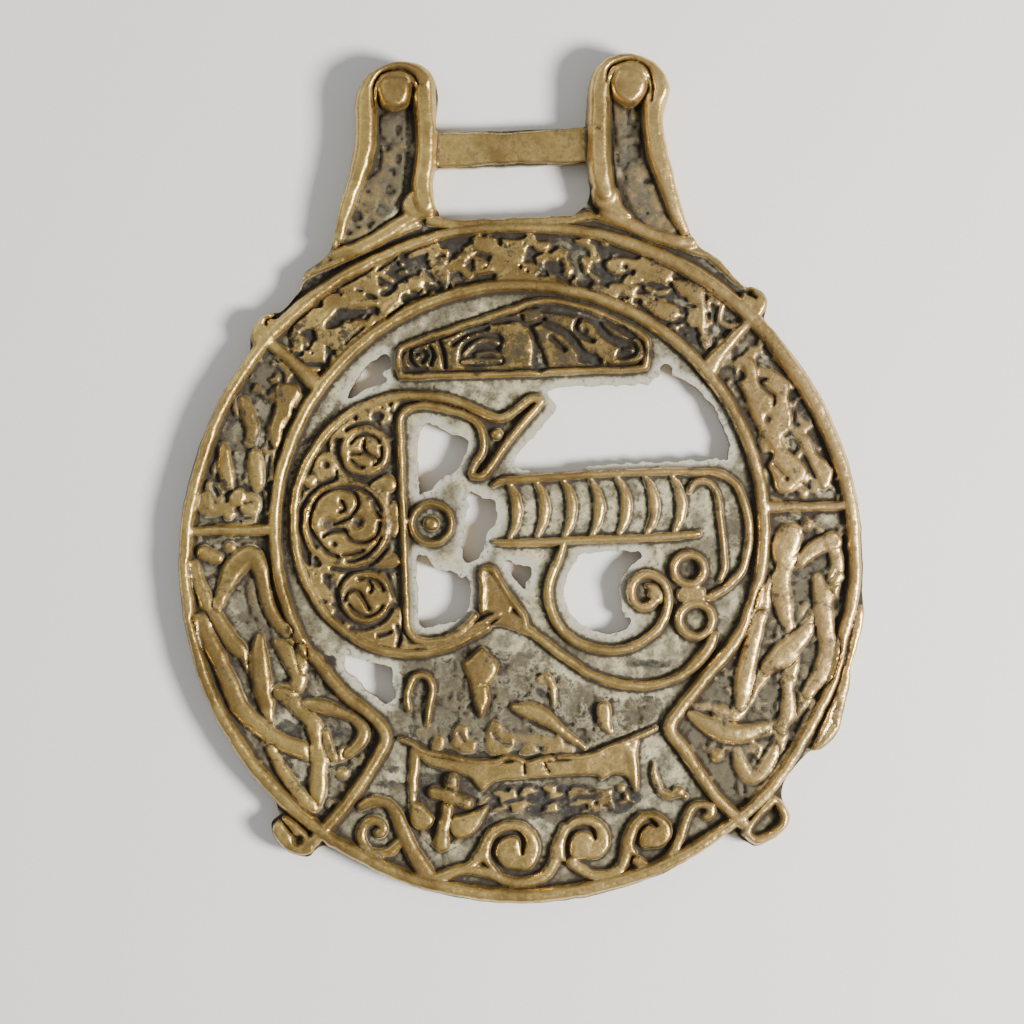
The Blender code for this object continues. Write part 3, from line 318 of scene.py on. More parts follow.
RELIEF = {
    "horn floors": [
        pads(0.5,
            [(-15.5, 53.5), (-11, 54), (-10.8, 46), (-12, 42), (-17, 38), (-19.8, 37.8), (-18.8, 41.5),
             (-17, 46)],
            [(12, 55), (16.2, 53), (17, 47), (20, 39), (19.5, 37), (15.3, 38.8), (12.8, 43), (12.2, 50)]),
    ],
    "horn ridges": [
        pads(0.8, [(-10, 46.5), (0.5, 46.5), (11, 46.5), (11, 50.2), (0.5, 50.2), (-10, 50.2)]),
        lines(3.1, 2.4,
            [(-19.8, 38.4, 0.45), (-19.1, 41, 0.6), (-18, 44, 0.75), (-16.9, 47, 0.9), (-16.3, 50),
             (-16.2, 53), (-15.8, 55.2), (-14.6, 56.9), (-12.6, 57.6), (-10.6, 57.4), (-9.3, 56.2)],
            [(-20.4, 37.8, 0.4), (-19.9, 39.6, 0.4), (-18.9, 43, 0.5)]),
        lines(3, 2.2,
            [(-9.2, 56.4), (-9.35, 54), (-9.2, 50), (-9.4, 47), (-9.8, 45), (-9.9, 43.4), (-9.6, 42)]),
        lines(3.1, 2.4,
            [(11.4, 42.6, 0.9), (10.9, 45), (10.8, 48), (10.95, 52), (11.2, 55), (12.2, 57), (14, 57.6),
             (16, 57.2), (17.6, 56), (18.1, 54.4), (17.5, 53), (17.2, 51), (17.4, 48.5), (17.9, 46),
             (18.7, 43, 0.85), (19.5, 40, 0.7), (20.4, 38, 0.5)]),
        pads(1.5,
            [(-11.6, 43.6), (-9.3, 44.2), (-8.7, 42.6), (-8.3, 41.3), (-9.3, 40.4), (-11.4, 40.6),
             (-12.4, 41.6)],
            [(10, 43.6), (9.8, 42), (10.4, 40.9), (12, 40), (14.6, 39.6), (13.4, 41.4), (12.7, 43.4)]),
        lines(2, 1.3, [(-10.6, 41), (-12.6, 39.9), (-15, 38.5), (-17.6, 37.3), (-20.4, 36.6, 0.8)],
            [(11.4, 40.4), (14, 39), (16.6, 37.6), (19, 36.9), (21.2, 36.6, 0.8)]),
        pads(2.75,
            [(-15, 55.6), (-14.4, 57), (-12.6, 57.4), (-10.9, 56.9), (-10.4, 55.4), (-10.9, 53.6),
             (-12.6, 52.7), (-14.4, 53.4)],
            [(12.2, 55.8), (13, 57.3), (14.9, 57.5), (16.5, 56.6), (17, 54.8), (16.2, 53), (14.4, 52.2),
             (12.7, 53.2), (12.1, 54.4)], shoulder=1.5),
        cuts(0.4, 0.8,
            [(-15.2, 53.4, 0.6), (-15.2, 54.6), (-14.9, 56.2), (-13.9, 57.4), (-12, 57.7), (-10.6, 57),
             (-9.9, 55.8, 0.6)],
            [(11.9, 55.4, 0.6), (12.6, 57.2), (14.9, 57.85), (16.6, 57), (17.3, 54.8), (17, 53, 0.6)]),
        cuts(0.3, 0.4, [(10.3, 50.2), (11, 49.9)]),
    ],
    "shoulders": [
        lines(1, 0.8,
            [(-24.2, 33.9, 0.7), (-22.5, 34.9), (-20, 35.8), (-17, 37), (-13.6, 38.6), (-10.6, 39.7)],
            [(10, 40), (13, 38.9), (15.5, 37.9), (18, 36.9), (20.6, 35.9), (22.8, 35, 0.7)]),
        lines(0.9, 0.6, [(-26.6, 30.6, 0.8), (-25.2, 32.4), (-24.3, 33.9), (-22.6, 35), (-21.2, 36.3)],
            [(27.2, 31, 0.8), (25.4, 32.8), (23.6, 34.6), (22, 35.8), (21, 37.2)]),
        lines(1.5, 0.8, [(-9, 40.2), (-6, 39.6), (0, 39.6), (6, 39.6), (9.4, 40.2)]),
    ],
    "rim": [
        lines(1.75, 1.4, [(r * math.cos(math.radians(a)), r * math.sin(math.radians(a)), s)
                          for a, r, s in RIM]),
        cuts(0.32, 0.45, [(-23.5, 33.7), (-20, 35.1), (-16, 36.8), (-12.5, 38.1)],
            [(9, 39.3), (12, 38.5), (15, 37.5), (18, 36.4), (21, 35.2), (22.5, 34.4)]),
    ],
    "stub": [
        pads(0.75,
            [(39, -6.5), (39.9, -7.4), (39.4, -10), (38.2, -13.4), (38, -15), (37.2, -18.4),
             (36.6, -20.6), (34.6, -22.8), (33.2, -23), (34.6, -19.8), (37, -14)]),
        cuts(0.3, 0.3, [(36.3, -17.6), (35.7, -19.2), (36, -20.4)],
            [(35.6, -20), (34.6, -21.6), (33.8, -22.4)], [(38.4, -9.8), (37.5, -13.4)]),
    ],
    "lobes": [
        pads(1.2,
            [(-27.6, 30.1), (-29.2, 29.7), (-30.4, 28.2), (-30.4, 26.6), (-29.4, 25.6), (-28.2, 26.5),
             (-27.4, 27.6), (-26.9, 28.9)],
            [(27.6, 31.1), (28.9, 30.8), (29.9, 29.6), (29.6, 28.2), (28.6, 27.2), (27.6, 28),
             (26.6, 29.6)],
            [(-29.1, -28.9), (-30, -29.8), (-29.8, -31), (-28.4, -32.6), (-26.4, -33.3), (-25, -32.6),
             (-25.6, -31), (-28, -28.6)]),
        lines(1.25, 1.25,
            [(25.2, -32.3), (26.3, -33.3), (28, -32.8), (29.3, -31.9), (29.8, -30.8), (29.4, -29.6),
             (28.9, -28.8, 0.8)], [(25.2, -32.3), (26.6, -30.6), (28.4, -28.6)]),
        cuts(0.45, 0.8, [(-29.3, -28.6), (-28.2, -29.9), (-27.4, -31)],
            [(-27.6, 29.5), (-28.5, 29.3), (-28.6, 28.7)], [(27.1, 30.7), (27.9, 30.3), (28.5, 29.9)]),
        pits(0.9, (-27, -31.4, 0.75), (-27.5, 29.7, 0.5), (27.8, 30.5, 0.5)),
        wells(0.9, oval(27.4, -31.2, 4.2, 1.9, 42)),
    ],
    "ring": [
        lines(1.6, 1.25, RING_BAND),
    ],
    "dividers": [
        lines(1.25, 1.1, [(-38.6, 4.9), (-34, 4.95), (-31, 4.8, 1.1), (-28.6, 4.9, 1.4)],
            [(28.6, 5.5, 1.4), (31, 5.4, 1.1), (34, 5.35), (38.6, 5.3)],
            [(-28.6, 26.8, 1.2), (-27, 25.5, 1.15), (-25.5, 24, 1.2), (-24.4, 22.9, 1.5),
             (-23.4, 21.9, 1.9)],
            [(28.2, 27.6, 1.2), (26.5, 26.1, 1.2), (25, 24.5, 1.3), (23.6, 23, 1.7), (22.9, 22, 2)]),
        lines(0.95, 0.9,
            [(-13.1, 22.1), (-8, 22.1), (0, 22), (8, 22.1), (14.6, 22.1), (15.4, 22.7), (15.7, 24.2),
             (15.6, 25.4), (14.8, 26.3), (12.6, 27.5), (10, 28.8), (7.6, 29.7), (5, 30.3), (2.7, 30.3),
             (0, 29.5), (-4, 28.3), (-8, 27.1), (-12, 25.8), (-13.2, 25.1), (-13.4, 23.8),
             (-13.1, 22.1)]),
    ],
    "pediment": [
        pads(0.72,
            [(-12.4, 23), (-12.4, 25), (-8, 26.5), (-3, 28), (0.4, 29), (3, 29.7), (7.6, 28.9),
             (12, 27.1), (14.8, 25.4), (14.8, 22.9), (8, 22.6), (-4, 22.6)]),
        wells(0.72,
            [(-6.2, 23.2), (-6.3, 24.6), (-5.8, 25.9), (-3.4, 26.9), (-1.6, 26.9), (-0.9, 26),
             (-1.4, 24.6), (-1, 23.2), (-3.6, 22.9)],
            [(12, 23.5), (12.6, 24.9), (13.8, 25.5), (14.6, 24.6), (14.4, 23.6), (13.2, 23.2)],
            [(7.9, 23), (7.4, 23.9), (8.6, 24.3), (9.8, 24), (10, 23.1)]),
        lines(0.75, 0.62, [(-5.7, 24.4), (-4.4, 25.6), (-3, 26.1), (-1.7, 25.6)],
            [(-4.2, 24.3), (-2.8, 24.6), (-1.6, 24.2)], [(-5.8, 23.6), (-4, 23.7), (-1.5, 23.6)],
            [(13.1, 24.4), (13.9, 24.2)]),
        cuts(1.15, 0.9, [(2.1, 27.2, 0.6), (2.6, 26, 0.7), (2.9, 24.6, 1.1), (3.1, 23, 1.8)],
            [(3.9, 27.7, 0.6), (6, 26.7), (7.2, 25.5), (8.1, 24.2), (8.9, 23.5), (9.9, 23.1)],
            [(3.6, 29.3, 0.6), (6.4, 29.1), (8.5, 28.6), (9.8, 27.7), (10.3, 26.8), (11, 26),
             (12.2, 25.3), (13.4, 25)], [(10.6, 28.1, 0.5), (12.6, 26.9, 0.7), (14, 25.9, 0.7)]),
        cuts(0.7, 0.8, [(4.5, 26.1), (5.3, 25.3), (6, 24.6)],
            [(-11.9, 25), (-12, 23.8), (-11.2, 22.9), (-10.2, 22.9)],
            [(-9.7, 25.4), (-9.3, 24.4), (-9.6, 23.4)],
            [(-11.2, 24.7), (-10.6, 25), (-10.1, 24.4), (-10.6, 23.8)],
            [(-8.5, 26.1, 0.8), (-8.1, 24.8), (-8, 23.1)], [(-6.9, 25.7), (-5, 26.9), (-2.9, 27.4)],
            [(-2.2, 28), (0.2, 28.3), (1.2, 28.2)], [(1.1, 28.7), (1.4, 27.8), (2.6, 27.7), (3.8, 28.3)],
            [(7.9, 28.1), (7.4, 27), (8.3, 26), (9.4, 25.5)]),
        pits(0.5, (8.5, 26.7, 0.5), (-10.8, 24.1, 0.35), (10.9, 22.9, 0.3)),
    ],
    "crescent bands": [
        lines(1.15, 1.05,
            [(3, 19), (1.8, 19), (0.4, 18), (-1, 17.1), (-2.4, 17), (-4.4, 17.9), (-6.7, 19),
             (-9.5, 19.7), (-13, 19.9), (-15.5, 19.5), (-18.6, 18.4), (-21, 16.8), (-23.2, 14.4),
             (-24.9, 11.6), (-25.9, 8.5), (-26.2, 5), (-25.9, 1.5), (-25, -1.5), (-23.1, -4.9),
             (-20.7, -7.3), (-18, -9.1), (-15, -10), (-12, -10.2), (-9, -9.6), (-6.5, -8.6),
             (-4.2, -7.4)]),
        lines(1.05, 1.1,
            [(3.2, 18.7), (2.4, 17.8), (0, 15.2), (-1.5, 13.4), (-3.1, 11.2), (-4.2, 10.2),
             (-5.2, 10.2)]),
        lines(1, 1,
            [(-5.4, 10.6), (-4.9, 11.6), (-4.1, 12.8), (-3.8, 14.2), (-4, 15.6), (-4.7, 16.7), (-6, 17.5),
             (-7.8, 18.1), (-9.6, 18.6), (-11.4, 18.7), (-12.7, 18.2), (-13.4, 17.2), (-13.45, 15.5),
             (-13.45, 12), (-13.45, 8), (-13.45, 4), (-13.45, 0), (-13.45, -4), (-13.4, -6.8),
             (-12.9, -8.1), (-11.9, -8.7), (-10.4, -8.8), (-8.6, -8.4), (-6.8, -7.4), (-5.5, -6)]),
        lines(0.95, 1,
            [(-4.6, -5.4), (-4.5, -3), (-4.6, -1.2), (-4.2, -0.6), (-3.3, -0.8), (-2.2, -2.6), (-1, -4.6),
             (0, -6), (0.4, -7.4)]),
        pads(0.75, [(-4.9, -1), (-3.4, -1.2), (-1, -5), (-2, -6), (-3.8, -5.8), (-4.9, -5)]),
        lines(0.9, 0.8, [(-13.2, -9.2, 0.7), (-9.8, -9.4), (-7.4, -8.4), (-4.6, -6.8), (-2.6, -6)]),
        lines(0.9, 0.95, ring(-10.2, 4.9, 2.35)),
        knobs(0.85, (-10.2, 4.9, 0.95)),
        lines(0.9, 0.8, [(-13.2, 5.4), (-12.6, 5.2)]),
        knobs(0.75, (-15.1, 9.7, 1.15), (-2.2, 15, 0.8), (-24.2, 10.3, 0.85), (-22.2, 12.2, 1.5)),
    ],
    "roundels": [
        pads(0.6,
            [(-14, -4.8), (-15.4, -5.2), (-17, -7), (-20.4, -6.9), (-18, -8.8), (-14.4, -9.3),
             (-14, -7.4)],
            [(-25.3, 4.8), (-25.2, 8.6), (-24.4, 9.4), (-23.2, 9), (-24.6, 6.8), (-25, 3.4), (-24.6, 1)],
            [(-15.2, 7.2), (-14, 7.4), (-13.9, 4), (-15.2, 3.6)],
            [(-15.9, 1.8), (-14.2, 1.4), (-13.9, 0.2), (-16.4, -0.2), (-18.6, 0.2), (-17.4, 1.2)],
            [(-25, -0.6), (-22.8, -1.6), (-22, -3.6), (-23.8, -3.4)]),
        pads(0.85, ring(-17.6, 13.6, 3.0)[:-1], ring(-20.1, 5.2, 5.2)[:-1], ring(-18.1, -3.4, 3.15)[:-1]),
        cuts(0.55, 0.7, arc(-17.6, 13.6, 1.95, 150, 30, 7), arc(-17.6, 13.6, 1.95, 10, -60, 5),
            arc(-17.6, 13.6, 1.95, 210, 260, 4),
            [(-17.7, 14.9), (-17.7, 13.7), (-17.2, 13.2), (-16.2, 12.6)],
            [(-17.7, 13.7), (-18.4, 13.3), (-19.2, 13.3)]),
        cuts(0.62, 0.75,
            [(-23.9, 7.5), (-23, 8.6), (-21.6, 9.3), (-20, 9.2), (-18.9, 8.6), (-18.6, 7.4), (-19.4, 6.2),
             (-20.4, 5.6), (-21.4, 5.2)], [(-24.2, 4.6), (-23.4, 3.2), (-22.4, 2), (-21.2, 1.4)],
            [(-21.4, 4.6), (-20.3, 4.4), (-19.8, 3.4), (-18.8, 3), (-17.4, 3.2), (-16.5, 4),
             (-16.25, 5.2)], [(-22.8, 3.8), (-21.8, 4.4), (-20.4, 4.4)],
            [(-16.9, 7.6), (-16.6, 6.6), (-16.1, 5.9)], [(-20.6, 7.9), (-20.2, 7), (-20.8, 6.6)],
            [(-18.2, 2), (-19.6, 1.6), (-20.6, 1.6)], arc(-20.1, 5.2, 4.35, 20, 100, 6),
            arc(-20.1, 5.2, 4.35, 150, 215, 6), arc(-20.1, 5.2, 4.35, 270, 335, 6)),
        pits(0.6, (-22.3, 5.2, 1), (-18.8, 5.3, 0.9), (-21.6, 2.9, 0.5), (-22.2, 12.1, 0.6),
            (-17.8, 14.2, 0.3)),
        knobs(0.8, (-18, 5, 0.35)),
        cuts(0.6, 0.7, [(-20.6, -3.6), (-19.9, -2.6), (-19, -2.7), (-18.4, -3.6), (-17.8, -4.8)],
            [(-17.8, -1.6), (-17.3, -2.2), (-17.6, -2.8)],
            [(-19.9, -6.9), (-18.4, -7.1), (-17, -6.6), (-15.9, -5.6), (-15.2, -4.6)],
            [(-15.6, -0.6), (-15.1, -2.2), (-14.5, -3.8)], [(-14.6, -7), (-14.3, -8.2), (-14.6, -9.2)],
            [(-16.8, -8), (-15.4, -7.6)]),
        cuts(0.6, 0.7, arc(-17.6, 13.6, 3.3, 190, 350, 12), arc(-17.6, 13.6, 3.3, 30, 130, 8),
            arc(-20.1, 5.2, 5.5, 100, 200, 9), arc(-20.1, 5.2, 5.5, -20, -110, 8),
            arc(-18.1, -3.4, 3.4, 100, 330, 14), arc(-18.1, -3.4, 2.2, 200, 330, 8),
            arc(-18.1, -3.4, 2.2, 20, 110, 6)),
    ],
    "stroke row": [
        lines(1.05, 0.9,
            [(-2.9, 9, 0.6), (-1.6, 9.6), (1, 9.75), (5, 9.9), (9, 10), (14, 10.05), (18, 10),
             (20.8, 9.8), (22.6, 9.8), (24.4, 9.2), (25.8, 7.6), (26.5, 5.5), (26.8, 3), (26.5, 0.4),
             (25.8, -1.8), (24.6, -3.2), (23, -4.3), (21.8, -4.9)],
            [(-3, 2.4, 0.6), (-1, 2.3), (3, 2.3), (8, 2.4), (14, 2.35), (18, 2.45), (20.8, 2.6, 0.9)]),
        lines(0.9, 0.85,
            [(19.9, 7.6, 0.8), (20.8, 8.7), (22.2, 8.6), (23.1, 7.4), (23.4, 5.5), (23.6, 2.5), (23.8, 0),
             (23.8, -1.4), (23.2, -2.9, 0.8)]),
    ],
    "scrolls": [
        lines(1.2, 1.05,
            [(5.1, 2, 0.7), (4.4, 0), (3.4, -2), (3.1, -3.5), (3.2, -5), (3.8, -6.7), (4.9, -8.4),
             (6.5, -9.6), (8.5, -10.4), (10.5, -10.6), (12.5, -10.3), (14.2, -9.5), (15.8, -8.2),
             (16.8, -6.5), (17.1, -4.8), (16.7, -3.2), (15.7, -2.2), (14.5, -1.9), (13.4, -2.4),
             (12.8, -3.4), (12.9, -4.7), (13.7, -5.6), (14.8, -5.6), (15.7, -4.9)]),
        pads(0.8, [(14.2, -3.2), (15.6, -3), (16.6, -4.2), (16.4, -5.4), (15.4, -5.2), (14.6, -4.4)]),
        pits(0.7, (14.2, -3.9, 0.8)),
        lines(1.15, 1.05, ring(19.6, -1.5, 1.75), ring(20.2, -7.4, 1.95)),
        pads(0.7, [(18, -4), (19.6, -3.2), (21.4, -3.6), (21.6, -5), (20.6, -5.6), (18.6, -5.4)]),
        lines(1.2, 1.05,
            [(0.2, -7.6, 0.9), (2, -9), (4, -10.6), (6, -12.2), (8, -13.5), (10, -14.3), (12.5, -14.8),
             (15, -14.8), (17, -14.3), (19, -13.3, 1.1), (20.5, -12, 1.35), (21.6, -10.6, 1.3),
             (22.3, -9.3, 0.9)]),
        pads(0.7,
            [(-1.6, -5.4), (0.4, -6.8), (2.2, -8.4), (3.6, -9.8), (2.6, -9.8), (0.4, -8.6), (-2.6, -7.4),
             (-4.4, -7.6), (-3, -6.6)]),
    ],
    "ground figures": [
        lines(0.95, 1,
            [(-11.6, -18.6, 0.7), (-11.3, -17), (-11, -15.5), (-10.8, -14.2), (-11.2, -13.1),
             (-12.1, -12.7), (-13, -13.1), (-13.5, -14.2), (-13.7, -15.4), (-13.6, -16.6, 0.9)]),
        pads(1,
            [(-7.3, -11.4), (-6.2, -10.6), (-5, -9.6), (-3.8, -10.4), (-2.9, -11.8), (-3.2, -13.2),
             (-4, -14.2), (-4, -15.6), (-4.4, -16.8), (-5.2, -18.2), (-5.9, -17), (-6.3, -15.4),
             (-6.5, -14), (-7, -12.6)], shoulder=1),
        cuts(0.3, 0.3, [(-5, -14), (-4.2, -14.2)]),
        lines(1.6, 0.95,
            [(-1.3, -16.9, 0.7), (0.4, -17.3, 1.5), (2.2, -18.2, 1.3), (4, -19.6, 0.9), (5.6, -20.9, 0.7),
             (6.8, -21.8, 0.5)], moat=0.3),
        pads(0.95,
            [(8.3, -17), (8.9, -16.5), (9.8, -16.6), (10.1, -17.6), (10, -19), (10.2, -20.3),
             (9.6, -20.5), (8.6, -19.6), (8.2, -18.4)], shoulder=0.7),
        lines(1, 0.6, [(1.7, -13.8), (2.4, -13.3), (3.1, -14), (3.3, -15.4), (3.3, -16.8, 0.7)]),
        pads(0.52,
            [(-9, -21.2), (-8.8, -19.4), (-7.9, -18.3), (-6.6, -18.8), (-6.5, -20.1), (-5.6, -20.6),
             (-6, -22), (-7.6, -22.2)],
            [(-4.9, -22), (-5, -19.8), (-4, -18.1), (-2.8, -18.5), (-2.5, -19.4), (-1.3, -19.7),
             (-1.2, -21.4), (-2, -22.4), (-3.6, -22.6)],
            [(1.7, -22.6), (2.2, -20.9), (2.9, -20.9), (3.6, -19.8), (4.5, -20.8), (4.6, -22.2)],
            [(-11.4, -21.4), (-10.9, -19.8), (-9.8, -19.6), (-9.4, -20.8), (-10, -21.8)],
            [(-1, -22.6), (-0.5, -21.2), (0.4, -20.7), (1.2, -21.2), (1.5, -22.4)], shoulder=0.9),
        cuts(0.45, 0.3, [(-7.9, -19.6), (-7.2, -20.6)], [(-3.9, -19.8), (-3.1, -20.9), (-2, -21.1)]),
        lines(1.6, 0.45, [(-1, -20.4), (2, -20.9), (5, -22)]),
    ],
    "ship": [
        pads(0.8,
            [(-13.4, -20.8), (-12, -21.8), (-9, -22.6), (-6, -23.1), (-3.2, -23.3), (-1.2, -23),
             (0, -23.6), (2.5, -23.2), (6, -23), (9, -22.2), (11.5, -21.4), (13.2, -21), (13, -22.4),
             (12.9, -25), (12.6, -27.2), (11.6, -25.6), (10, -25.1), (8.5, -25.8), (7.5, -25.2),
             (3, -25.2), (-3, -25.4), (-4.6, -26), (-5.5, -26.6), (-6.8, -25), (-8.6, -24.3),
             (-11, -23.6), (-12.6, -22.4)]),
        lines(0.75, 1.1,
            [(-14.8, -20, 0.7), (-13.2, -20.8), (-12, -21.6), (-10.5, -22), (-9, -22.3), (-7.5, -22.7),
             (-6, -23), (-4.5, -23.1), (-3.2, -23), (-2.2, -22.6), (-1.2, -22.8), (0, -23.5), (2, -23),
             (4.5, -22.8), (6, -22.9), (8, -22.6), (9.5, -21.9), (11, -21.4), (12.5, -20.9), (14, -20.3),
             (15.2, -19.8, 0.7)]),
        lines(1.6, 1,
            [(9.4, -22.6, 0.7), (11.5, -21.9, 1.1), (12.2, -23.4), (12.4, -25.4, 0.8), (12.5, -27, 0.5)]),
        lines(1.3, 0.7, [(-13, -21.4), (-13.3, -24), (-13.5, -26.4, 0.9), (-13.7, -28.6, 0.6)]),
        cuts(0.35, 0.6, [(-0.4, -23.4), (-0.3, -24.6)], [(2.1, -23.6), (2.5, -24.6)],
            [(2.8, -22.5), (3.3, -23)]),
        pads(0.45, oval(-5.2, -27.6, 2.2, 0.9, 30), oval(-2.9, -27.0, 2.6, 1.0, -8),
            oval(-3.4, -28.7, 2.4, 0.9, 12), oval(0.2, -26.7, 2.4, 0.9, 4),
            oval(-0.3, -28.2, 2.6, 0.9, -6), oval(3.0, -27.3, 2.6, 1.1, 8),
            oval(2.7, -28.9, 2.2, 0.8, -4), oval(5.9, -26.7, 2.2, 1.0, -6),
            oval(5.6, -28.3, 2.6, 0.9, 10), oval(8.6, -27.5, 2.0, 1.0, 14), oval(8.4, -29.0, 2.2, 0.7, 0),
            oval(10.8, -26.7, 1.5, 1.2, 30), oval(10.9, -28.4, 1.6, 0.8, 10), shoulder=0.5),
    ],
    "anchor": [
        lines(0.8, 0.4,
            [(-12.9, -30.4, 0.8), (-11.8, -31.8), (-10.4, -33), (-8.6, -32.3), (-7.4, -31.4, 0.8)]),
        lines(1.6, 1.05,
            [(-8.9, -25.1, 1.25), (-9, -26.1, 1.2), (-9.5, -28.4), (-10, -30.5), (-10.3, -32.4, 1.4)],
            [(-11, -26.4, 1.1), (-9.2, -27), (-7.3, -27.8, 1.2)], moat=0.25),
        pads(1,
            [(-13.7, -27.5), (-12.6, -27.5), (-11.9, -28.2), (-11, -29.4), (-11.6, -30.6), (-13.1, -30.8),
             (-13.9, -29.6)],
            [(-4.6, -28.1), (-5.2, -29.5), (-6.1, -31), (-7.3, -31.9), (-8.7, -31.8), (-9.4, -30.5),
             (-8.9, -29.2), (-7.4, -29), (-6.2, -28.6)], shoulder=0.5),
    ],
    "waves": [
        lines(2.4, 1,
            [(-10.8, -37.4, 0.6), (-12.2, -35.8, 0.95), (-13.6, -33.6, 0.9), (-14.6, -31.2, 0.85),
             (-15.4, -29, 0.7), (-16.6, -27.5, 0.6), (-18, -27.2, 0.6), (-19.6, -27.8, 0.5)]),
        lines(1.35, 0.75, arc(-17.8, -30.8, 0.3, -60, 330, 14, end_radius=2.9)),
        pads(1,
            [(-12.6, -37.2), (-11.6, -35.8), (-9.6, -35.2), (-7.6, -34.6), (-6.4, -33.2), (-5.6, -31.8),
             (-4.6, -30.7), (-3, -30), (-1.2, -30), (0.2, -30.8), (1.1, -32.2), (1.2, -33.8),
             (0.6, -35.2), (-0.6, -36.1), (-2.2, -35.9), (-3.6, -36.2), (-5, -35.6), (-5.6, -34.9),
             (-6.6, -35.3), (-8, -36), (-10, -37)],
            [(2.2, -35.4), (2.4, -33.6), (3, -31.8), (4.2, -30.4), (5.8, -29.6), (7.4, -29.7),
             (8.7, -30.6), (9.4, -31.9), (9.4, -33.4), (8.7, -34.5), (7.4, -35), (5.6, -35), (4.4, -35.2),
             (3.4, -35)],
            [(10.3, -35.2), (10.6, -32.8), (11.4, -30.9), (12.5, -29.8), (14, -29.4), (15.4, -29.8),
             (16.4, -30.8), (16.7, -32), (16.2, -33.3), (15, -34), (13.6, -34), (12.4, -34.6),
             (11.4, -34.8)], shoulder=0.85),
        cuts(0.95, 1,
            [(-0.9, -33.9, 0.4), (-0.8, -32.6), (-1.3, -31.7), (-2.5, -31.5), (-3.8, -32.2),
             (-4.4, -33.6), (-4, -35), (-2.9, -35.9), (-1.4, -36.3), (0.4, -36.2)],
            [(7.6, -32.4, 0.5), (7.3, -31.5), (6.2, -31.1), (5, -31.6), (4.4, -32.8), (4.3, -34.2),
             (5, -35.3), (6.4, -35.7), (8, -35.3), (9.2, -34.2), (9.7, -33.4)],
            [(14.8, -31.2, 0.5), (14.1, -30.7), (13.2, -31.1), (12.5, -32.1), (12.4, -33.3),
             (13.1, -34.2), (14.4, -34.6), (15.8, -34.1), (16.6, -33.2)]),
        lines(1.5, 0.95,
            [(-10.7, -36.3), (-7.8, -35.5), (-5, -36), (-3.1, -37), (-0.9, -37.3), (1.3, -36.7),
             (2.7, -35.1), (3.2, -33), (4.1, -31.1)],
            [(4.8, -35.2), (6.8, -36.6), (8.9, -36.8), (10.6, -35.7), (11.3, -33.6), (12, -31.6),
             (13.1, -30.2)], [(12.5, -35.3), (14.1, -36.4), (16.1, -36.2), (17.6, -35.3)]),
        lines(1.3, 1,
            [(14.6, -36, 0.9), (16.2, -34.9), (17.2, -33.4), (17.8, -31.8), (18.4, -30.2),
             (19.2, -29.1, 0.9), (20.3, -28.9, 0.8), (21.2, -29.3), (21.2, -30.1), (20.6, -30.4, 0.8)]),
        lines(0.6, 0.6, [(19.4, -34), (21, -33.2), (22.6, -32.3)]),
        lines(1.2, 0.6, [(14.7, -23.8, 0.6), (14.8, -25.6), (15.4, -27.2), (16.8, -27.7), (17.8, -27.2)]),
        cuts(0.5, 0.3, [(15.6, -22.8), (16.4, -24.2), (16.6, -26.2)]),
        knobs(0.7, (17.5, -27.4, 0.8), (18.2, -27.9, 0.5)),
    ],
    "lower left beasts": [
        lines(1.9, 0.7, [(-27.8, -6.6), (-27.5, -7.8), (-27.3, -9.4)],
            [(-32.6, -9.4), (-31.6, -11.4), (-30.4, -13.2), (-28.8, -14.2)],
            [(-34.6, -2), (-35.8, -4.2), (-36.8, -5.6)], [(-30.2, -15), (-30, -18), (-29.6, -21)],
            [(-26.6, -20.6), (-25, -21.8), (-22.8, -22), (-20.8, -21.4)]),
        lines(2.3, 0.9,
            [(-37.9, 1.2, 0.5), (-37.4, -1.4, 0.8), (-36.3, -4.2), (-34.8, -6.8), (-33.4, -8.7),
             (-32.4, -9.7, 0.7)], [(-36.8, 2.4, 0.9), (-35.2, 1.8, 0.7)], moat=0.25),
        lines(2.35, 0.95,
            [(-35.3, -3.6, 0.6), (-34.3, -1.2), (-33, 0.9, 1.3), (-31.4, 1.9, 1.2), (-30.4, 0.4),
             (-30, -1.6, 0.8), (-29.6, -3.8, 0.8), (-28.7, -5.8, 0.8), (-27.6, -7, 0.7)], moat=0.25),
        lines(2.3, 0.9,
            [(-37.5, -5.2, 0.7), (-36.4, -8.2), (-35.2, -10.8), (-34.3, -13.2, 1.1), (-33.2, -15.8, 1.1),
             (-31.2, -18), (-28.6, -19.9), (-26.4, -20.8), (-24.6, -21.6, 0.7)], moat=0.25),
        lines(2.7, 1,
            [(-30.7, -7.6, 0.5), (-30.8, -10, 0.9), (-30.6, -12.6), (-30.2, -15, 0.9),
             (-29.9, -17.2, 0.3)], moat=0.3),
        lines(2.3, 0.8,
            [(-28.6, -8.4, 0.6), (-27.2, -10.4), (-26.3, -12.4), (-27, -13.8), (-28.6, -14, 0.8)],
            [(-26, -9.2, 0.6), (-25.6, -11.4, 0.5)],
            [(-28.6, -14.4, 0.7), (-26.6, -15.7), (-25, -17.6), (-24.2, -20.4), (-24.3, -23.4),
             (-24.6, -26), (-25, -27.8, 0.7)], moat=0.25),
        lines(1.75, 0.85,
            [(-25.6, -15.4, 0.6), (-23.6, -16, 1.2), (-21.6, -16.7, 0.9), (-19.9, -17.6, 0.8), (-19, -19),
             (-19.5, -20.4), (-20.8, -21.6, 0.7)],
            [(-29.8, -20.8, 0.7), (-28.9, -22.6, 0.9), (-27.6, -24.8), (-26.2, -26.7),
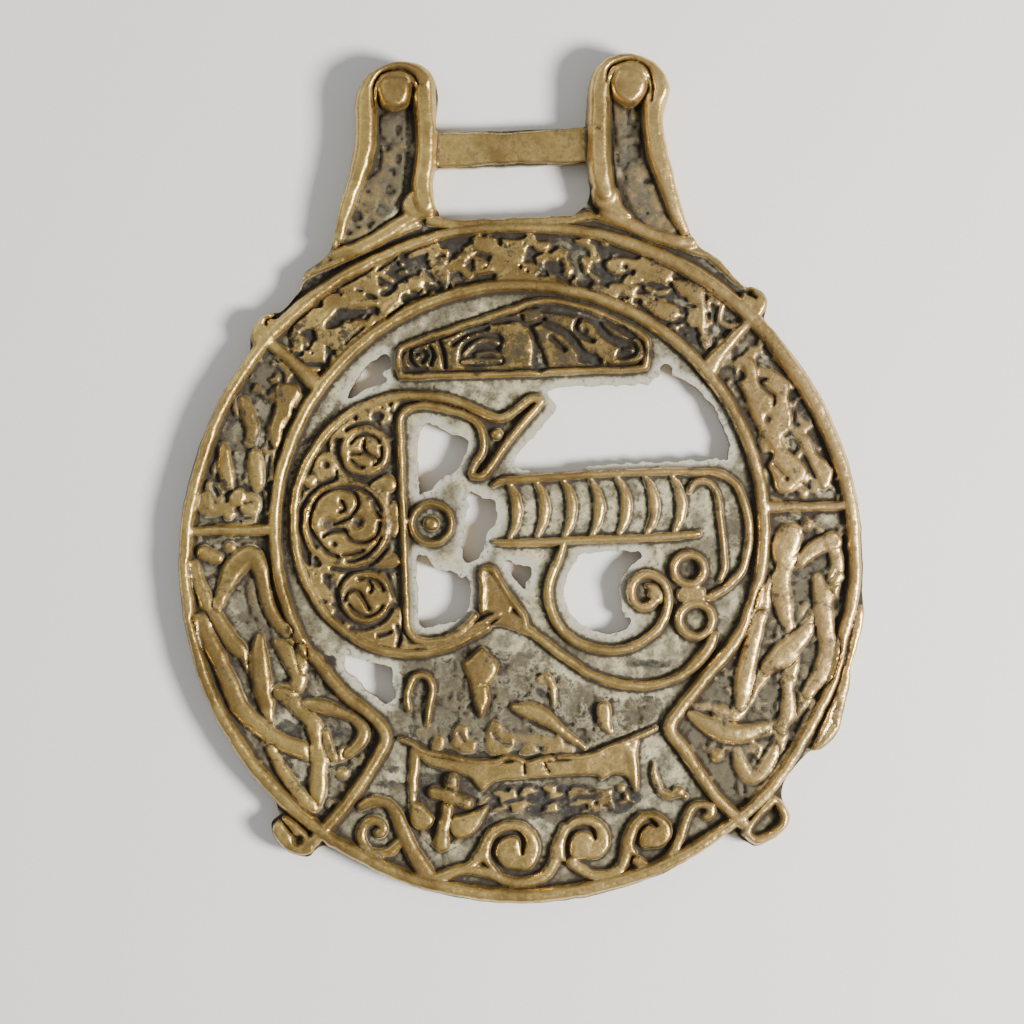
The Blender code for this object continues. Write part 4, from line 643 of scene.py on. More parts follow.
             (-25.1, -27.9, 0.7)], [(-23.3, -19, 0.6), (-23, -20.6, 0.7), (-22.6, -22, 0.6)], moat=0.25),
        knobs(0.6, (-33.8, 3.05, 0.8), (-21.6, -23.9, 0.85)),
    ],
    "upper left beasts": [
        pads(0.75,
            [(-27.9, 21.7), (-26.6, 22), (-25.2, 21.6), (-24.8, 20.6), (-25.6, 19.4), (-26, 18),
             (-26.9, 17), (-27.2, 15.2), (-28, 14), (-28.7, 14.8), (-28.8, 16.8), (-28.2, 18.4),
             (-28, 19.8)], shoulder=0.7),
        lines(2, 0.8, [(-31.5, 20, 0.7), (-31.1, 18.2), (-30.6, 16.8), (-30.9, 15.8, 0.7)],
            [(-34, 14.2, 0.8), (-34, 12.6), (-33.8, 11), (-33.6, 10.2, 0.7)],
            [(-30.5, 13.6, 0.9), (-30.4, 12), (-30.3, 10.6), (-30.4, 9.8, 0.7)],
            [(-36.4, 9, 0.6), (-36.2, 8, 0.8), (-35.8, 7.6, 0.7)], moat=0.25),
        pads(0.8,
            [(-33.8, 8.9), (-33.1, 9.7), (-32.2, 9.9), (-31.6, 9), (-32.1, 8), (-33, 7.6), (-33.7, 7.9)]),
        lines(1.3, 0.6, arc(-31.3, 7.9, 0.85, 120, -150, 8)),
        lines(1.1, 0.5, [(-37.3, 9.6), (-37.2, 8), (-36.4, 7), (-35.2, 7.2), (-34.6, 8.6)]),
        knobs(0.6, (-33.8, 6.7, 0.75)),
    ],
    "upper right beasts": [
        pads(0.8,
            [(26.6, 22.6), (27.6, 23.2), (28.4, 22), (28.6, 20.2), (29.6, 20.4), (30, 21.4), (31, 21),
             (32.2, 19.8), (32, 18.2), (32.3, 16.6), (32.4, 15.2), (31.8, 14), (31.1, 13.4), (31.6, 12.2),
             (33.2, 10.6), (33.9, 9.6), (33.6, 8.4), (32.4, 7.6), (31.6, 6.9), (30.6, 6.9), (29.9, 7.6),
             (29.7, 9), (29.2, 10.2), (29.8, 11.4), (29.2, 12.8), (28.2, 14.4), (27.2, 16.8),
             (26.8, 18.4), (26, 19.8), (26, 20.2), (26.8, 20.6)], shoulder=0.7),
        pads(0.7,
            [(32.8, 13.8), (34.2, 13.6), (35, 11.6), (36.4, 10.4), (36.8, 9), (36.2, 7.4), (35.4, 7.2),
             (34.8, 8.6), (34, 10.4), (33.2, 12)]),
        cuts(0.6, 0.6, [(28.7, 19.9), (29.4, 19), (30.3, 18.2), (30.2, 17.2, 0.6)]),
        cuts(0.4, 0.4, [(29.9, 10.4), (30.5, 9.8), (31.2, 9)]),
        pits(0.5, (29.4, 15.7, 0.55), (31.4, 8.7, 0.35)),
        knobs(0.6, (33.2, 7, 0.8)),
    ],
    "lower right beasts": [
        lines(2, 0.7, [(30.6, -7.4), (31.3, -9.6), (31.4, -12), (30.7, -15.2)],
            [(29, -12.8), (27, -15), (25.2, -17.6), (23.6, -19.6)],
            [(32.8, -9.2), (34.4, -7), (36.2, -4.4), (36.9, -1.4), (36.4, 1)],
            [(27.6, -7.6), (28.4, -5.2), (29.8, -3), (31.6, -1.2), (33.4, -0.4)],
            [(33.6, -15.4), (32, -17.6), (29.8, -19.8), (27, -20.6)],
            [(29.8, -19.8), (29.6, -21.6), (28.4, -23.8)], moat=0.25),
        lines(2.7, 0.85,
            [(31.6, 2.2, 1.2), (30.9, 0.6, 1.3), (30.7, -1.4, 0.8), (30.4, -3.4, 0.9), (30.5, -5.8),
             (30.8, -8, 0.6), (30.9, -8.8, 0.4)], moat=0.25),
        pads(0.9,
            [(32, -1.6), (32.4, -0.2), (33.6, 1.2), (35.2, 2), (36.6, 2.5), (37.5, 1.6), (37.6, 0.6),
             (37, 0.1), (35.4, -0.2), (34, -0.9), (33, -1.8)]),
        lines(2.5, 0.85,
            [(34.6, -3, 0.6), (35, -5.4), (35.3, -8.4), (35.5, -11.4), (34.9, -13.6), (33.9, -15.2, 0.9),
             (33, -16.2, 0.6)], [(37.2, -3, 0.5), (36.4, -3.6, 0.3)], moat=0.25),
        lines(2.7, 0.95, [(33.4, -8.9, 0.5), (31.8, -10.4), (30, -11.9, 1.1), (28.6, -13, 0.8)],
            moat=0.25),
        lines(2.5, 1,
            [(27.8, -7.3, 0.6), (27.2, -9, 0.8), (26.4, -11.4, 0.9), (25.7, -14), (25.2, -16.4, 0.8),
             (25, -17.6, 0.4)], moat=0.3),
        lines(2, 0.9, [(30.6, -15.2, 0.8), (30.7, -17, 0.9), (30.4, -19), (29.8, -20.2, 0.8)], moat=0.25),
        lines(2.7, 1,
            [(19.2, -18.4, 0.4), (21.2, -19.7, 0.9), (23.4, -20.7), (25.6, -20.8, 0.9),
             (27.6, -20.1, 0.5)], moat=0.3),
        lines(2, 0.7,
            [(24.5, -22.8, 0.6), (24.8, -24.4), (25.8, -26), (27, -25.6), (28.2, -24),
             (28.7, -22.6, 0.5)], moat=0.25),
        lines(0.8, 0.55, [(33.6, -17.4), (32.6, -19.6), (31, -22.4), (28.6, -25.6), (26, -28.6, 0.7)],
            [(26.2, -21.8), (27.2, -22.6), (26.8, -23.6)]),
        knobs(0.75, (22.2, -23.3, 0.9), (22.8, -18.4, 1.2), (33.6, 3.2, 0.85), (21.9, -19.4, 0.6)),
    ],
    "arch beasts": [
        pads(0.75,
            [(-21, 30.4), (-22.2, 29.6), (-23, 28.2), (-22.8, 26.9), (-21.8, 26), (-20.8, 25.6),
             (-20.6, 24.6), (-19.4, 25.2), (-17.8, 26.8), (-16, 28.2), (-15.4, 29.6), (-16.6, 29),
             (-18.2, 29.1), (-19.4, 28.3), (-20.4, 27.4), (-21.4, 27.8), (-21.6, 28.6), (-20.6, 29.6)],
            [(-15.6, 29.8), (-14.8, 30.8), (-13.6, 31.4), (-13.4, 32.2), (-12.2, 32.6), (-12.1, 33.6),
             (-10.8, 33.9), (-9.9, 32.9), (-10.8, 32.1), (-12, 32), (-12.6, 31), (-13.6, 30.2),
             (-14.8, 29.2)],
            [(-19, 31), (-17.6, 31.4), (-15.4, 31.3), (-15.3, 30.6), (-16.8, 30.3), (-18.6, 30.3)],
            [(-9.6, 35), (-9.2, 35.8), (-7.6, 36), (-7, 35.4), (-7.8, 34.5), (-8.8, 34.4)],
            [(-4.5, 36.9), (-4, 37.9), (-1.6, 38), (-1.2, 37.1), (0.2, 36.9), (1.7, 36.3), (1.9, 35.3),
             (0.5, 34.9), (-0.9, 35.2), (-2.4, 35.9), (-3.6, 36.2)],
            [(-4.9, 33.7), (-4.2, 34.4), (-2.9, 34.6), (-2.5, 35.2), (-1.8, 34.8), (-1.8, 34),
             (-3.2, 33.6)], [(2.7, 36.6), (3.2, 37.4), (4.8, 37.2), (4.6, 36.2), (3.4, 36)],
            [(5.6, 35.4), (6.4, 36.2), (7, 35), (7.2, 33.4), (6.6, 32.8), (6.4, 34.2)],
            [(11.2, 33.8), (11.2, 34.8), (12.6, 35.2), (14.2, 35), (16, 34.9), (17.6, 34), (18.6, 33),
             (18.2, 31.6), (17, 32.4), (15.4, 33), (14, 33.6), (12.4, 33)],
            [(11.2, 31.3), (11.6, 32.2), (13.2, 32.2), (15.1, 31.8), (14.4, 30.6), (12.6, 30.3),
             (11.4, 30.6)],
            [(18.8, 32.2), (20.4, 32.4), (22.4, 31.2), (22.6, 30.2), (22.7, 28), (22.4, 25.8),
             (21.6, 26.2), (21.6, 28.6), (21, 30), (19.6, 30.4), (19, 31.2)],
            [(15, 29.6), (16.4, 30), (18.4, 29.8), (19.6, 28.8), (19, 27.4), (17, 28)],
            [(-4, 32.6), (-2, 33.2), (0, 34.6), (2.6, 35), (3.6, 34), (5.6, 32.9), (7, 32.3), (3, 32.2),
             (-1, 32.4)]),
        lines(0.9, 0.55, [(-19.8, 32.4), (-18, 32.9), (-16, 32.3), (-14.6, 32.6)],
            [(-15.2, 34.2), (-13.8, 33.4)], [(-24.4, 28.6), (-25, 27.4), (-24, 26.4)],
            [(19, 34.2), (18, 33.4)], [(15.9, 31.4), (16.6, 31)], [(17.2, 30.8), (18.2, 31)],
            [(24.6, 29.2), (24.2, 27.4), (25.4, 26.6)], [(8.4, 37.2), (9.6, 36.2), (9.7, 35)],
            [(9.4, 33.2), (10.2, 32.6)], [(-11.6, 36.2), (-9.8, 36.8), (-8.4, 37.2)],
            [(-12.8, 34.2), (-12.2, 34.4)]),
        cuts(0.4, 0.55, [(-19.4, 26.2), (-18.4, 27.2), (-17.3, 28)],
            [(-14.6, 28.9), (-13.2, 30), (-11.8, 31), (-10.4, 32.1)], [(12.6, 30.6), (13.6, 30.4)],
            [(3.2, 33.4), (4.4, 33.4)]),
        pits(0.6, (-12.4, 31.4, 0.45), (-11.1, 31.6, 0.5), (2, 33.9, 0.25), (13.4, 34, 0.4),
            (14.2, 33.3, 0.4), (1.2, 34.4, 0.3)),
        knobs(0.85, (-5.5, 35.55, 0.85), (9, 34.4, 0.65)),
    ],
}

# Seven plain curved strokes stand in a row between the rails
ROW_LEFT, ROW_RIGHT, ROW_COUNT = -0.4, 18.8, 7
ROW_LOW, ROW_HIGH, ROW_BEND = 2.9, 9.5, 0.75
ROW_WIDTH, ROW_RISE, ROW_TURN = 1.35, 0.75, 1.6

# Extra patches on the hollows: x, y, length, width, turn in degrees, strength
DARK_PATCHES = [
    (-21, 28.8, 3, 1.6, 10, 1), (-18.5, 29.6, 3.4, 1, 12, 1), (-14.2, 32.5, 2.4, 1.4, 40, 1),
    (-12.8, 34, 2, 1.4, 60, 1), (-11, 36, 3, 2.2, 20, 0.9), (-6, 37.6, 3.4, 1.6, 10, 0.9),
    (-3, 36, 2.2, 0.5, 0, 0.8), (0.6, 38, 3, 0.9, 0, 0.8), (5.2, 34.2, 2.4, 1.4, -30, 0.9),
    (10.6, 33.2, 2, 2, 0, 0.8), (17, 31.6, 2.4, 0.8, -20, 0.9), (4, 38.2, 3, 0.8, -8, 0.7),
    (-33.3, -10.7, 2.2, 0.9, -15, 0.9), (-32, -5.4, 2.4, 1, -10, 0.6), (-27.6, -18.4, 3, 1.8, -35, 0.8),
    (-21.4, -19.2, 2.4, 1.4, 0, 0.7), (36.6, -3.4, 1.6, 2.2, 0, 0.9), (34, -2, 3, 1.2, -30, 0.7),
    (32.4, -17.4, 2.4, 0.9, 20, 0.8), (33.6, 16.6, 1.4, 3, 20, 0.6), (33.6, 10.8, 1.4, 1.6, 0, 0.6),
    (14.6, -12.4, 5.4, 0.9, -4, 0.8), (14.6, -16.6, 2.6, 1, -20, 0.6), (8, -17.6, 0.9, 3, 0, 0.9),
    (2.4, -19.4, 4, 0.7, -25, 0.9), (2, -15.4, 1.8, 0.9, -40, 0.7), (14.6, -25.6, 1, 4, 8, 0.9),
    (7.4, -27.6, 5, 0.7, 0, 0.6), (2, -29.6, 3.4, 0.7, 10, 0.7), (-1.6, -27.7, 3.6, 0.6, 10, 0.6),
    (-4.6, -30, 1.6, 0.8, 40, 0.8), (-16, -25.4, 4, 1, -5, 0.7), (-15.8, -23.6, 2, 1, 0, 0.6),
    (12.2, 24, 3.6, 1, 0, 1), (9.6, 23.4, 2.2, 0.9, 0, 1), (2.9, 25, 1.2, 3.4, 15, 0.6),
    (6.4, 26.4, 3, 0.7, -45, 1), (-4.4, 27.4, 3, 0.9, 15, 0.9), (-1.9, 26.9, 1.6, 1.4, 0, 0.9),
    (-20.4, 0.6, 3.2, 1.4, 0, 0.8), (-15.4, 11.8, 1.2, 2, 0, 1), (-19, 9.6, 2, 0.9, -30, 0.8),
    (-16, 17.6, 1.6, 1.2, 0, 0.7), (-25, 2, 1, 3.4, 15, 0.8), (-2.8, 15.9, 1, 1.6, 0, 0.9),
    (-6.6, -10.2, 2, 0.8, 10, 0.9), (-4.6, -6.2, 1.6, 0.8, 20, 0.8), (19.8, -1.4, 1.6, 1.2, 0, 0.9),
    (22, -3, 1.4, 1.2, 0, 0.8), (21, -9.9, 1.6, 0.6, 10, 0.8), (25, 3, 2, 5, 0, 0.5),
    (12.6, -18.4, 2, 1.6, 0, 0.6), (-22.6, -10.7, 2, 1.2, 0, 1), (-14.4, -19.6, 1.4, 0.8, -20, 0.6),
    (25.9, -10.4, 0.9, 1.2, 0, 0.9), (22.2, -16.2, 1.6, 0.7, -40, 0.7), (28.2, -14, 2.4, 0.8, 0, 0.6),
    (24, 17, 13, 1.8, -60, 0.75), (-22.6, 16.9, 9, 0.8, 45, 0.6),
]
PALE_PATCHES = [
    (-22.8, 34.4, 4.6, 0.6, 24, 1), (-24.6, 32.8, 2.6, 0.6, 48, 0.9), (23.4, 34, 3.8, 0.9, -36, 1),
    (-24.3, 29.9, 7.6, 0.6, 40, 1), (-26.6, 26.8, 2.6, 1, -40, 1), (-18.6, 33.6, 6, 0.5, 27, 1),
    (-14.2, 35.4, 3.4, 0.5, 35, 1), (-23.2, 23.9, 3.6, 0.6, -8, 1), (-21.5, 24.6, 0.6, 1.6, -15, 1),
    (-17.4, 32.6, 1.4, 0.6, 10, 0.9), (-9.4, 33.8, 2.4, 0.6, -50, 0.9), (-5.8, 33.2, 1.6, 0.5, 0, 0.7),
    (6.5, 36.8, 1.4, 1, -20, 0.8), (8, 35.6, 1.8, 0.7, 10, 0.9), (8.2, 33.6, 0.8, 2.2, 10, 0.9),
    (9.8, 36.2, 0.7, 2.4, 10, 0.8), (6.6, 37.8, 3.6, 0.5, -10, 0.8), (20.2, 29.5, 2.8, 0.6, -20, 1),
    (22.2, 31.5, 2.8, 0.6, -36, 1), (18, 31.9, 1.6, 0.4, -25, 0.8), (25.8, 27.8, 3.6, 1.2, -15, 0.9),
    (23.6, 25.6, 0.8, 3.4, -12, 0.9), (22.9, 24, 1.6, 0.7, 30, 1), (28.2, 26.2, 3.6, 1, 46, 1),
    (26.9, 24.4, 1.2, 1.6, 0, 0.9), (30.6, 21.6, 3.8, 0.8, -52, 1), (-31, 22.9, 5.4, 0.7, 56, 1),
    (-28.3, 25, 2.6, 0.5, -38, 1), (-24.8, 22.2, 2, 0.4, -36, 1), (-34, 17.8, 3.6, 0.8, 62, 1),
    (-35.8, 13, 5, 1.2, 70, 1), (-29.4, 19, 1.6, 2, 0, 0.9), (-32.5, 16.5, 0.8, 2.4, -20, 1),
    (-29.6, 15.3, 1, 2.2, -20, 1), (-32.2, 12.4, 1.2, 3.4, 0, 0.9), (-29.1, 11.8, 0.7, 3.6, -10, 0.9),
    (-34.6, 6.2, 7, 0.9, 2, 1), (-29.9, 7.8, 0.9, 3.2, 0, 1), (-37.6, 7.6, 0.8, 3.6, 5, 1),
    (-35.2, 9.6, 0.7, 2, 25, 0.9), (-34.6, 3.6, 7.6, 0.7, 2, 1), (-29.3, 1.8, 0.8, 4.6, 3, 1),
    (-36.2, 0.4, 2.2, 0.9, -10, 0.9), (-31, 3.3, 3, 0.9, 0, 1), (-38.3, -3.4, 0.7, 5, 6, 0.9),
    (-37, -8.6, 1, 4.6, 14, 1), (-36, -13.4, 0.7, 4.4, 24, 0.9), (-33.4, -18.6, 1.2, 5.4, 32, 1),
    (-29, -24.2, 1, 7, 36, 0.8), (-33, -3.8, 2.2, 2, 0, 1), (-32.4, -7.6, 2, 3.4, 10, 0.8),
    (-33.2, -13.6, 1.2, 4, 14, 1), (-28.6, -11.2, 1.2, 4.4, 14, 1), (-28.2, -17.4, 2.6, 3.2, 40, 0.7),
    (-26.4, -23.2, 1.8, 2.6, 10, 0.9), (-22.9, -25.4, 1, 5.4, -32, 0.9), (-24.4, -29, 1.8, 1.8, 0, 1),
    (-24.2, -13.6, 0.8, 5, 32, 0.8), (-22, -22.6, 3, 0.8, 20, 0.8), (36.4, 3.6, 3.4, 1.6, 0, 0.9),
    (31.2, 4.1, 3, 0.8, 0, 0.9), (37.9, -1.2, 0.8, 5, 0, 0.7), (37.2, -6.6, 1, 4, 0, 0.6),
    (35, 15.2, 0.8, 3.6, 20, 1), (36, 6.6, 2.2, 1.8, 0, 1), (31.6, 6.3, 1.8, 0.6, 0, 0.9),
    (29.4, 8, 0.6, 2.6, 0, 0.9), (32.2, 12.9, 1, 1.8, 20, 0.9), (34.4, 9.6, 0.8, 2.2, 15, 0.8),
    (27.4, 15.8, 0.7, 5.4, 24, 0.6), (29.6, 19.2, 0.9, 2.4, 35, 0.9), (29.2, 22.4, 0.9, 2, 40, 0.9),
    (24.4, -8.4, 2.6, 3, 0, 0.9), (17, -10.6, 3, 1.6, 20, 1), (3, 24.4, 0.7, 3, 8, 1),
    (9, 28.5, 3.6, 0.25, -18, 1), (-6, 26.8, 4.4, 0.4, 16, 0.9), (-3.6, 23.3, 3.6, 0.4, -4, 0.9),
]


class Noise:
    """Smooth repeatable noise over the plan, from -1 to 1."""

    def __init__(self, seed):
        self.draws = np.random.default_rng(seed)

    def over(self, x, y, cell):
        """A fresh field with lumps of about the cell's size."""
        u, v = (x + NOISE_SHIFT) / cell, (y + NOISE_SHIFT) / cell
        table = self.draws.uniform(-1, 1, (int(v.max()) + 3, int(u.max()) + 3))
        i, j = v.astype(int), u.astype(int)
        a, b = v - i, u - j
        a, b = a * a * (3 - 2 * a), b * b * (3 - 2 * b)
        low = table[i, j] * (1 - b) + table[i, j + 1] * b
        high = table[i + 1, j] * (1 - b) + table[i + 1, j + 1] * b
        return low * (1 - a) + high * a


def curve(points, closed=False, step=0.45):
    """A smooth curve through plan points, as rows of x, y and share."""
    rows = np.array([p if len(p) == 3 else (*p, 1.0) for p in points], float)
    count = len(rows)
    if closed:
        padded = np.vstack([rows[-1:], rows, rows[:2]])
    else:
        padded = np.vstack([rows[:1], rows, rows[-1:]])
    parts = []
    for k in range(count if closed else count - 1):
        p0, p1, p2, p3 = padded[k:k + 4]
        steps = max(1, int(math.ceil(np.hypot(*(p2 - p1)[:2]) / step)))
        t = (np.arange(steps) / steps)[:, None]
        parts.append(0.5 * (2 * p1 + (p2 - p0) * t + (2 * p0 - 5 * p1 + 4 * p2 - p3) * t ** 2
                            + (3 * p1 - p0 - 3 * p2 + p3) * t ** 3))
    if not closed:
        parts.append(rows[-1:])
    return np.vstack(parts)


def smoothstep(value, low, high):
    """0 below low, 1 above high, and smooth between them."""
    t = np.clip((value - low) / (high - low), 0, 1)
    return t * t * (3 - 2 * t)


class Relief:
    """Heights over the ground, on a fine raster in plan millimetres."""

    def __init__(self, pitch, wobble, seed):
        self.pitch = pitch
        xs = np.arange(RASTER_LEFT, RASTER_RIGHT, pitch)
        ys = np.arange(RASTER_LOW, RASTER_HIGH, pitch)
        self.plain_x, self.plain_y = np.meshgrid(xs, ys)
        self.noise = Noise(seed)
        self.x = self.plain_x + self.layered((wobble, WOBBLE_CELL))
        self.y = self.plain_y + self.layered((wobble, WOBBLE_CELL))
        self.height = np.zeros_like(self.x)
        self.base = np.zeros_like(self.x)
        self.dark = self.patches(DARK_PATCHES)
        self.pale = self.patches(PALE_PATCHES)
        self.patched = smoothstep(np.maximum(self.dark, self.pale), *PATCH_RANGE)

    def layered(self, *layers):
        """A sum of fresh noise fields, each layer given as its weight and its cell."""
        return sum(weight * self.noise.over(self.plain_x, self.plain_y, cell) for weight, cell in layers)

    def window(self, points, margin):
        """The slices of the raster that hold these points."""
        low, high = points[:, :2].min(0) - margin, points[:, :2].max(0) + margin
        i0 = max(0, int((low[1] - RASTER_LOW) / self.pitch))
        i1 = min(self.x.shape[0], int((high[1] - RASTER_LOW) / self.pitch) + 2)
        j0 = max(0, int((low[0] - RASTER_LEFT) / self.pitch))
        j1 = min(self.x.shape[1], int((high[0] - RASTER_LEFT) / self.pitch) + 2)
        return slice(i0, i1), slice(j0, j1)

    def reach(self, rows, half, margin):
        """How far each cell lies outside a tapered strand, with the strand's share there."""
        out = np.full(self.x.shape, np.inf)
        share = np.ones(self.x.shape)
        for a, b in zip(rows[:-1], rows[1:]):
            area = self.window(np.array([a, b]), half * max(a[2], b[2]) + margin)
            dx, dy = b[0] - a[0], b[1] - a[1]
            px, py = self.x[area] - a[0], self.y[area] - a[1]
            t = np.clip((px * dx + py * dy) / max(dx * dx + dy * dy, TINY), 0, 1)
            part = a[2] + (b[2] - a[2]) * t
            beyond = np.hypot(px - t * dx, py - t * dy) - half * part
            closer = beyond < out[area]
            out[area] = np.where(closer, beyond, out[area])
            share[area] = np.where(closer, part, share[area])
        return out, share

    def inside(self, outline, margin):
        """Signed distance into a closed outline, positive inside and cut off at the margin."""
        rows = np.vstack([outline, outline[:1]])
        away = np.full(self.x.shape, margin)
        within = np.zeros(self.x.shape, bool)
        for a, b in zip(rows[:-1], rows[1:]):
            area = self.window(np.array([a, b]), margin)
            dx, dy = b[0] - a[0], b[1] - a[1]
            px, py = self.x[area] - a[0], self.y[area] - a[1]
            t = np.clip((px * dx + py * dy) / max(dx * dx + dy * dy, TINY), 0, 1)
            away[area] = np.minimum(away[area], np.hypot(px - t * dx, py - t * dy))
            if dy:
                low, high = min(a[1], b[1]), max(a[1], b[1])
                rows_hit, _ = self.window(np.array([a, b]), 1.0)
                y = self.y[rows_hit]
                crossing = a[0] + (y - a[1]) * dx / dy
                within[rows_hit] ^= (y >= low) & (y < high) & (self.x[rows_hit] > crossing)
        return np.where(within, away, -away)

    def patches(self, rows):
        """Soft oval patches, the strongest at each cell."""
        field = np.zeros_like(self.height)
        for x, y, length, width, turn, strength in rows:
            area = self.window(np.array([[x, y]]), max(length, width))
            c, s = math.cos(math.radians(turn)), math.sin(math.radians(turn))
            px, py = self.x[area] - x, self.y[area] - y
            u, v = (px * c + py * s) / (length / 2), (py * c - px * s) / (width / 2)
            spot = PATCH_WEIGHT * strength * smoothstep(PATCH_EDGE - np.hypot(u, v), 0, PATCH_FADE)
            field[area] = np.maximum(field[area], spot)
        return field

    def crown(self, depth, half):
        """The rounded section of a strand, from 0 at its foot to 1 on its crest."""
        shoulder = np.maximum(np.minimum(SHOULDER, half), STRAND_SHOULDER * half)
        u = np.clip(depth / shoulder, 0, 1)
        return 1 - (1 - u) ** ROUNDING

    def lay(self, kind, width, rise, moat, paths):
        """Lay one row of the relief table."""
        for path in paths:
            if kind == "line":
                self.strand(path, width / 2, rise, moat)
            elif kind == "cut":
                out, share = self.reach(curve(path), width / 2, 0.1)
                self.height -= rise * self.crown(-out, width / 2 * share)
            elif kind == "knob":
                x, y, radius = path
                away = np.hypot(self.x - x, self.y - y)
                dome = rise * np.clip(1 - (away / radius) ** KNOB_SIDE, 0, 1) ** KNOB_TOP
                self.height = np.maximum(self.height, dome)
            elif kind == "pit":
                x, y, radius = path
                away = np.hypot(self.x - x, self.y - y)
                self.height -= rise * np.clip(1 - (away / radius) ** PIT_SIDE, 0, 1)
            else:
                depth = self.inside(curve(path, closed=True), 1.5)
                level = rise * self.crown(np.maximum(depth, 0), width)
                if kind == "pad":
                    self.height = np.maximum(self.height, level)
                else:
                    self.height -= level

    def strand(self, path, half, rise, moat):
        """Lay one raised strand, first lowering what lies within its moat."""
        out, share = self.reach(curve(path), half, moat + 0.1)
        lift = rise * np.minimum(share, 1) ** TAPER * self.crown(-out, half * share)
        if moat:
            ditch = np.clip(1 - np.maximum(out, 0) / moat, 0, 1) * (out < moat)
            self.height *= 1 - MOAT_DEPTH * np.where(out > 0, ditch, 0)
        self.height = np.maximum(self.height, lift)

    def blurred(self, field, radius):
        """The field under a Gaussian blur of that radius in millimetres."""
        reach = max(1, int(math.ceil(BLUR_REACH * radius / self.pitch)))
        taps = np.exp(-0.5 * (np.arange(-reach, reach + 1) * self.pitch / radius) ** 2)
        taps /= taps.sum()
        for axis in (0, 1):
            border = [(reach, reach) if k == axis else (0, 0) for k in (0, 1)]
            padded = np.pad(field, border, mode="edge")
            total = np.zeros_like(field)
            for k, tap in enumerate(taps):
                piece = [slice(None), slice(None)]
                piece[axis] = slice(k, k + field.shape[axis])
                total += tap * padded[tuple(piece)]
            field = total
        return field

    def sample(self, field, x, y):
        """The field at plan points, between its cells."""
        u = np.clip((x - RASTER_LEFT) / self.pitch, 0, field.shape[1] - 1.001)
        v = np.clip((y - RASTER_LOW) / self.pitch, 0, field.shape[0] - 1.001)
        i, j = v.astype(int), u.astype(int)
        a, b = v - i, u - j
        return ((field[i, j] * (1 - b) + field[i, j + 1] * b) * (1 - a)
                + (field[i + 1, j] * (1 - b) + field[i + 1, j + 1] * b) * a)

    def slope(self, field, x, y, gap):
        """How steeply the field climbs along x and along y, over a gap to each side."""
        along_x = self.sample(field, x + gap, y) - self.sample(field, x - gap, y)
        along_y = self.sample(field, x, y + gap) - self.sample(field, x, y - gap)
        return along_x / (2 * gap), along_y / (2 * gap)


def stroke_row():
    """The strokes between the rails, each bent the same way."""
    pitch = (ROW_RIGHT - ROW_LEFT) / (ROW_COUNT - 1)
    middle = (ROW_LOW + ROW_HIGH) / 2
    paths = []
    for k in range(ROW_COUNT):
        x = ROW_LEFT + pitch * k
        paths.append([(x - ROW_BEND, ROW_HIGH, 0.6), (x, ROW_HIGH - ROW_TURN, 0.9),
                      (x + ROW_BEND / 3, middle, 1.1), (x, ROW_LOW + ROW_TURN, 0.9),
                      (x - ROW_BEND, ROW_LOW, 0.6)])
    return lines(ROW_WIDTH, ROW_RISE, *paths)


def metal_edge(relief):
    """Signed distance into the metal, and the distance to the nearest piercing."""
    metal = relief.inside(curve(SILHOUETTE, True, OUTLINE_STEP), EDGE_REACH)
    slot = relief.inside(curve(STRAP_SLOT, True, HOLE_STEP), EDGE_REACH)
    metal = np.minimum(metal, -slot)
    ragged = relief.layered(*RAGGED_LAYERS)
    near = np.full(metal.shape, EDGE_REACH)
    for outline in PIERCINGS:
        hole = relief.inside(curve(outline, True, HOLE_STEP), EDGE_REACH) + ragged
        near = np.minimum(near, -hole)
    return np.minimum(metal, near), near


def worn_lumps(relief):
    """Fill each panel with the flat, ragged plates that its background has worn down to."""
    noise = relief.layered(*LUMP_LAYERS)
    for name, outline in PANELS.items():
        _, _, rise, level = PANEL_TONES[name]
        cover = smoothstep(relief.inside(curve(outline, True, PANEL_STEP), 1.0), *PANEL_RANGE)
        plates = relief.base + rise * smoothstep(noise, level, level + LUMP_FLANK) * (1 - relief.patched)
        relief.height = np.maximum(relief.height, plates * cover)


def carve(relief, casting):
    """Lay the whole face on the raster, then soften and roughen it as a casting."""
    for name, rows in RELIEF.items():
        for row in rows:
            relief.lay(*row)
        if name == "horn floors":
            relief.base = relief.height.copy()
            worn_lumps(relief)
    relief.lay(*stroke_row())
    metal, near = metal_edge(relief)
    height = relief.blurred(np.maximum(relief.height, DEEPEST), casting.softness)
    low = 1 - smoothstep(height - relief.base, *LOW_RANGE)
    skin = relief.layered(*SKIN_LAYERS)
    border = smoothstep(near, *SMOOTH_RANGE)
    height += casting.roughness_depth * (0.5 + 0.5 * low) * (0.3 + 0.7 * border) * skin
    relief.height = height + relief.layered(*SWELL_LAYERS)
    return metal, near


def tone_fields(relief, near):
    """Where the hollows are tarnished, and where they hold pale residue."""
    soot = np.full(relief.height.shape, GROUND_TONE[0])
    chalk = np.full(relief.height.shape, GROUND_TONE[1])
    blot = relief.layered(*BLOT_LAYERS)
    for name, outline in PANELS.items():
        cover = smoothstep(relief.inside(curve(outline, True, PANEL_STEP), 1.5) + blot, *TONE_RANGE)
        soot += (PANEL_TONES[name][0] - soot) * cover
        chalk += (PANEL_TONES[name][1] - chalk) * cover
    soot = np.maximum(soot * (1 - relief.pale), relief.dark)
    chalk = np.maximum(chalk * (1 - relief.dark), relief.pale)
    border = 1 - smoothstep(near, *BARE_RANGE)
    return {"soot": soot * (1 - border), "chalk": np.maximum(chalk, border), "border": border}


